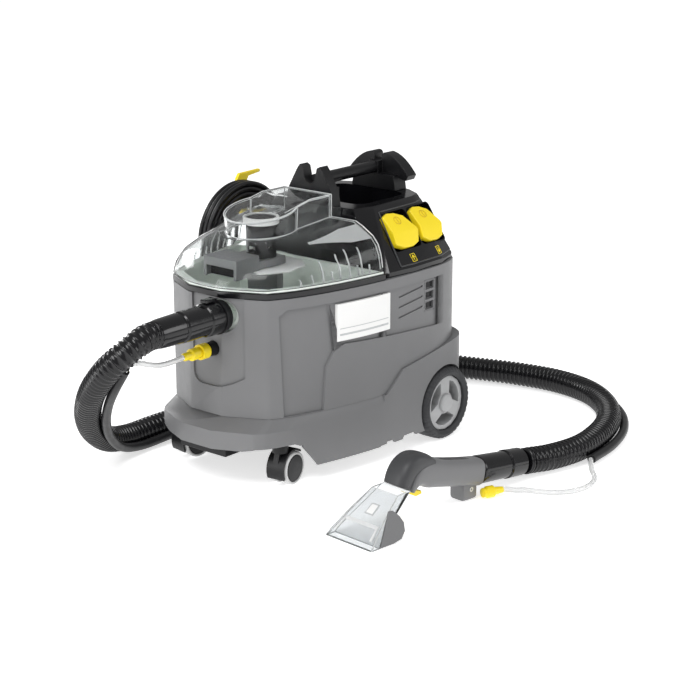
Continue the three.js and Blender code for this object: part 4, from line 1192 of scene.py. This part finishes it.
NECK = [(94, 60, 72, 13, 20), (100, 72, 62, 14, 20.5), (110, 82, 38, 15, 20.5), (124, 86.5, 8, 14.5, 20),
        (140, 84, -16, 12, 19), (154, 79, -20, 8, 17)]
HANDLE = [(106, 50, 70, 5, 20.5), (112, 58, 55, 8, 21), (122, 65, 30, 14, 21.2), (136, 67, 4, 19.5, 21.2),
          (154, 63, -16, 21, 21), (178, 56.5, -14, 20, 20.5), (214, 47.5, -13, 20, 20),
          (240, 41.5, -12, 20.2, 20.3), (256, 38, -11, 20.5, 20.5)]
TOP_INSET = [(178, 76.6, -14, 0.8, 7), (210, 68.4, -13.5, 0.8, 7), (238, 62, -12.5, 0.8, 6.5)]
VALVE_BLOCK = [(219, 17, 0, 11, 12), (222, 17, 0, 14.5, 13), (244, 16, 0, 14.5, 13), (248, 16, 0, 13, 12)]
SCREW_PROFILE = [(0, 0), (3.6, 0), (3.6, 0.8), (1.8, 0.8), (1.6, 0.2), (0, 0.2)]
sweep("tool_neck_look", NECK, DARK_GREY, ["tool_neck", "nozzle_base"])
sweep("tool_handle_look", HANDLE, GREY, ["tool_handle"])
sweep("tool_top_inset", TOP_INSET, DARK_GREY, power=4)
sweep("valve_block_look", VALVE_BLOCK, GREY, ["valve_block"], power=6)
screw = turned("valve_screw_shape", SCREW_PROFILE, on_tool(236, -12.6, 18), TOOL_TURN @ Vector((0, -1, 0)),
               sides=24)
place("valve_screw", screw, STEEL, "root")


GUARD_OUTLINE = [(14, 2), (40, 1.5), (56, 4), (64, 13), (65, 24), (60, 34), (52, 42), (44, 43)]
GUARD_THICKNESS = 2.4


def guard_points(lift):
    """The spray guard's outline on a plate that leans in and bulges out, lifted across the tool."""
    return [on_tool(x, -46 + 0.32 * z - 2.5 * math.sin(math.pi * z / 46) + lift, z) for x, z in GUARD_OUTLINE]


guard = loft([guard_points(0), guard_points(GUARD_THICKNESS)])
smooth(guard, 40)
place("spray_guard_look", guard, GREY, "root", ["spray_guard"])


# The nozzle cover's front face by height: how far along the tool it is, and its half width there.
COVER_ALONG = [(9, 6), (32, 34), (57, 70)]
COVER_HALF = [(9, 42), (32, 34), (57, 25)]
COVER_LEAN = 0.7
PATCH_SINK = -0.3


def on_cover(z, share, out):
    """A point on the nozzle cover's front, at a height and a share of its half width, lifted off it."""
    along = along_line(COVER_ALONG, z) - out * COVER_LEAN
    return at(*on_tool(along, share * along_line(COVER_HALF, z), z + out * COVER_LEAN))


def cover_patch(name, across, z_range, material, lift=1.2):
    """A thin plate on the front of the nozzle cover, between two heights and two shares of its half width."""
    corners = [(z_range[0], across[0]), (z_range[0], across[1]), (z_range[1], across[1]),
               (z_range[1], across[0])]
    points = [on_cover(z, share, out) for out in (PATCH_SINK, lift) for z, share in corners]
    faces = [(3, 2, 1, 0), (4, 5, 6, 7), (0, 1, 5, 4), (1, 2, 6, 5), (2, 3, 7, 6), (3, 0, 4, 7)]
    mesh = mesh_from(name + "_shape", points, faces)
    bm = bmesh.new()
    bm.from_mesh(mesh)
    bmesh.ops.recalc_face_normals(bm, faces=bm.faces)
    bmesh.ops.bevel(bm, geom=bm.edges[:], offset=0.0004, segments=2, profile=0.6, affect="EDGES")
    bm.to_mesh(mesh)
    bm.free()
    smooth(mesh)
    place(name, mesh, material, "root")


# Painted highlight beads along the nozzle cover's edges.
edge_highlight_beads("cover_highlight_beads", bpy.data.objects["nozzle_cover_look"].data, 0.0005, 24, "root",
           lambda p: True)
cover_patch("cover_frame_top", (-0.78, 0.78), (22, 25.5), FROSTED)
cover_patch("cover_frame_near", (-0.86, -0.76), (10, 25.5), FROSTED)
cover_patch("cover_frame_far", (0.76, 0.86), (10, 25.5), FROSTED)
cover_patch("cover_label_edge", (-0.30, 0.18), (33, 44), SILVER, 0.8)
cover_patch("cover_label", (-0.24, 0.12), (34.2, 42.8), WHITE, 1.1)

# ---------- floor and light ----------


FLOOR_HALF = 40.0
FLOOR_GLOW = 0.64


def make_floor():
    """A wide, faintly glowing white floor, which is the backdrop too."""
    corners = rectangle(-FLOOR_HALF, FLOOR_HALF, -FLOOR_HALF, FLOOR_HALF)
    mesh = mesh_from("floor_shape", [(x, y, 0) for x, y in corners], [(0, 1, 2, 3)])
    floor = add_object("floor", mesh)
    n = Nodes("floor_paint")
    n.feed("Base Color", n.blend(n.ranged(n.noise(2), 0, 1), (0.93, 0.93, 0.93), (0.96, 0.96, 0.96)))
    n.set(Roughness=0.9, Specular_IOR_Level=0.1, Emission_Color=(1, 1, 1, 1), Emission_Strength=FLOOR_GLOW)
    mesh.materials.append(n.material)


def make_light(name, location, target, size, power):
    """A soft light at a place in the frame's metres, aimed at a target. Size in metres, power in watts."""
    data = bpy.data.lights.new(name, "AREA")
    data.shape = "RECTANGLE"
    data.size = size[0]
    data.size_y = size[1]
    data.energy = power
    light = add_object(name, data)
    light.location = location
    light.rotation_euler = (Vector(target) - Vector(location)).to_track_quat("-Z", "Y").to_euler()


make_floor()
make_light("key", (-1.5, -0.5, 2.3), (0.05, 0.1, 0.2), (1.5, 1.0), 34)
make_light("front_softbox", (-2.6, 0.9, 0.8), (0, 0.1, 0.2), (0.7, 1.6), 22)
make_light("side_softbox", (1.4, -2.4, 1.2), (0.1, 0, 0.2), (1.2, 1.2), 16)
make_light("rear_rim", (0.1, 2.3, 1.1), (0.1, 0.1, 0.25), (1.0, 0.5), 14)
world = bpy.data.worlds.new("studio")
world.use_nodes = True
world.node_tree.nodes["Background"].inputs["Color"].default_value = (1, 1, 1, 1)
world.node_tree.nodes["Background"].inputs["Strength"].default_value = 0.42
bpy.context.scene.world = world
bpy.context.scene.view_settings.view_transform = "Standard"
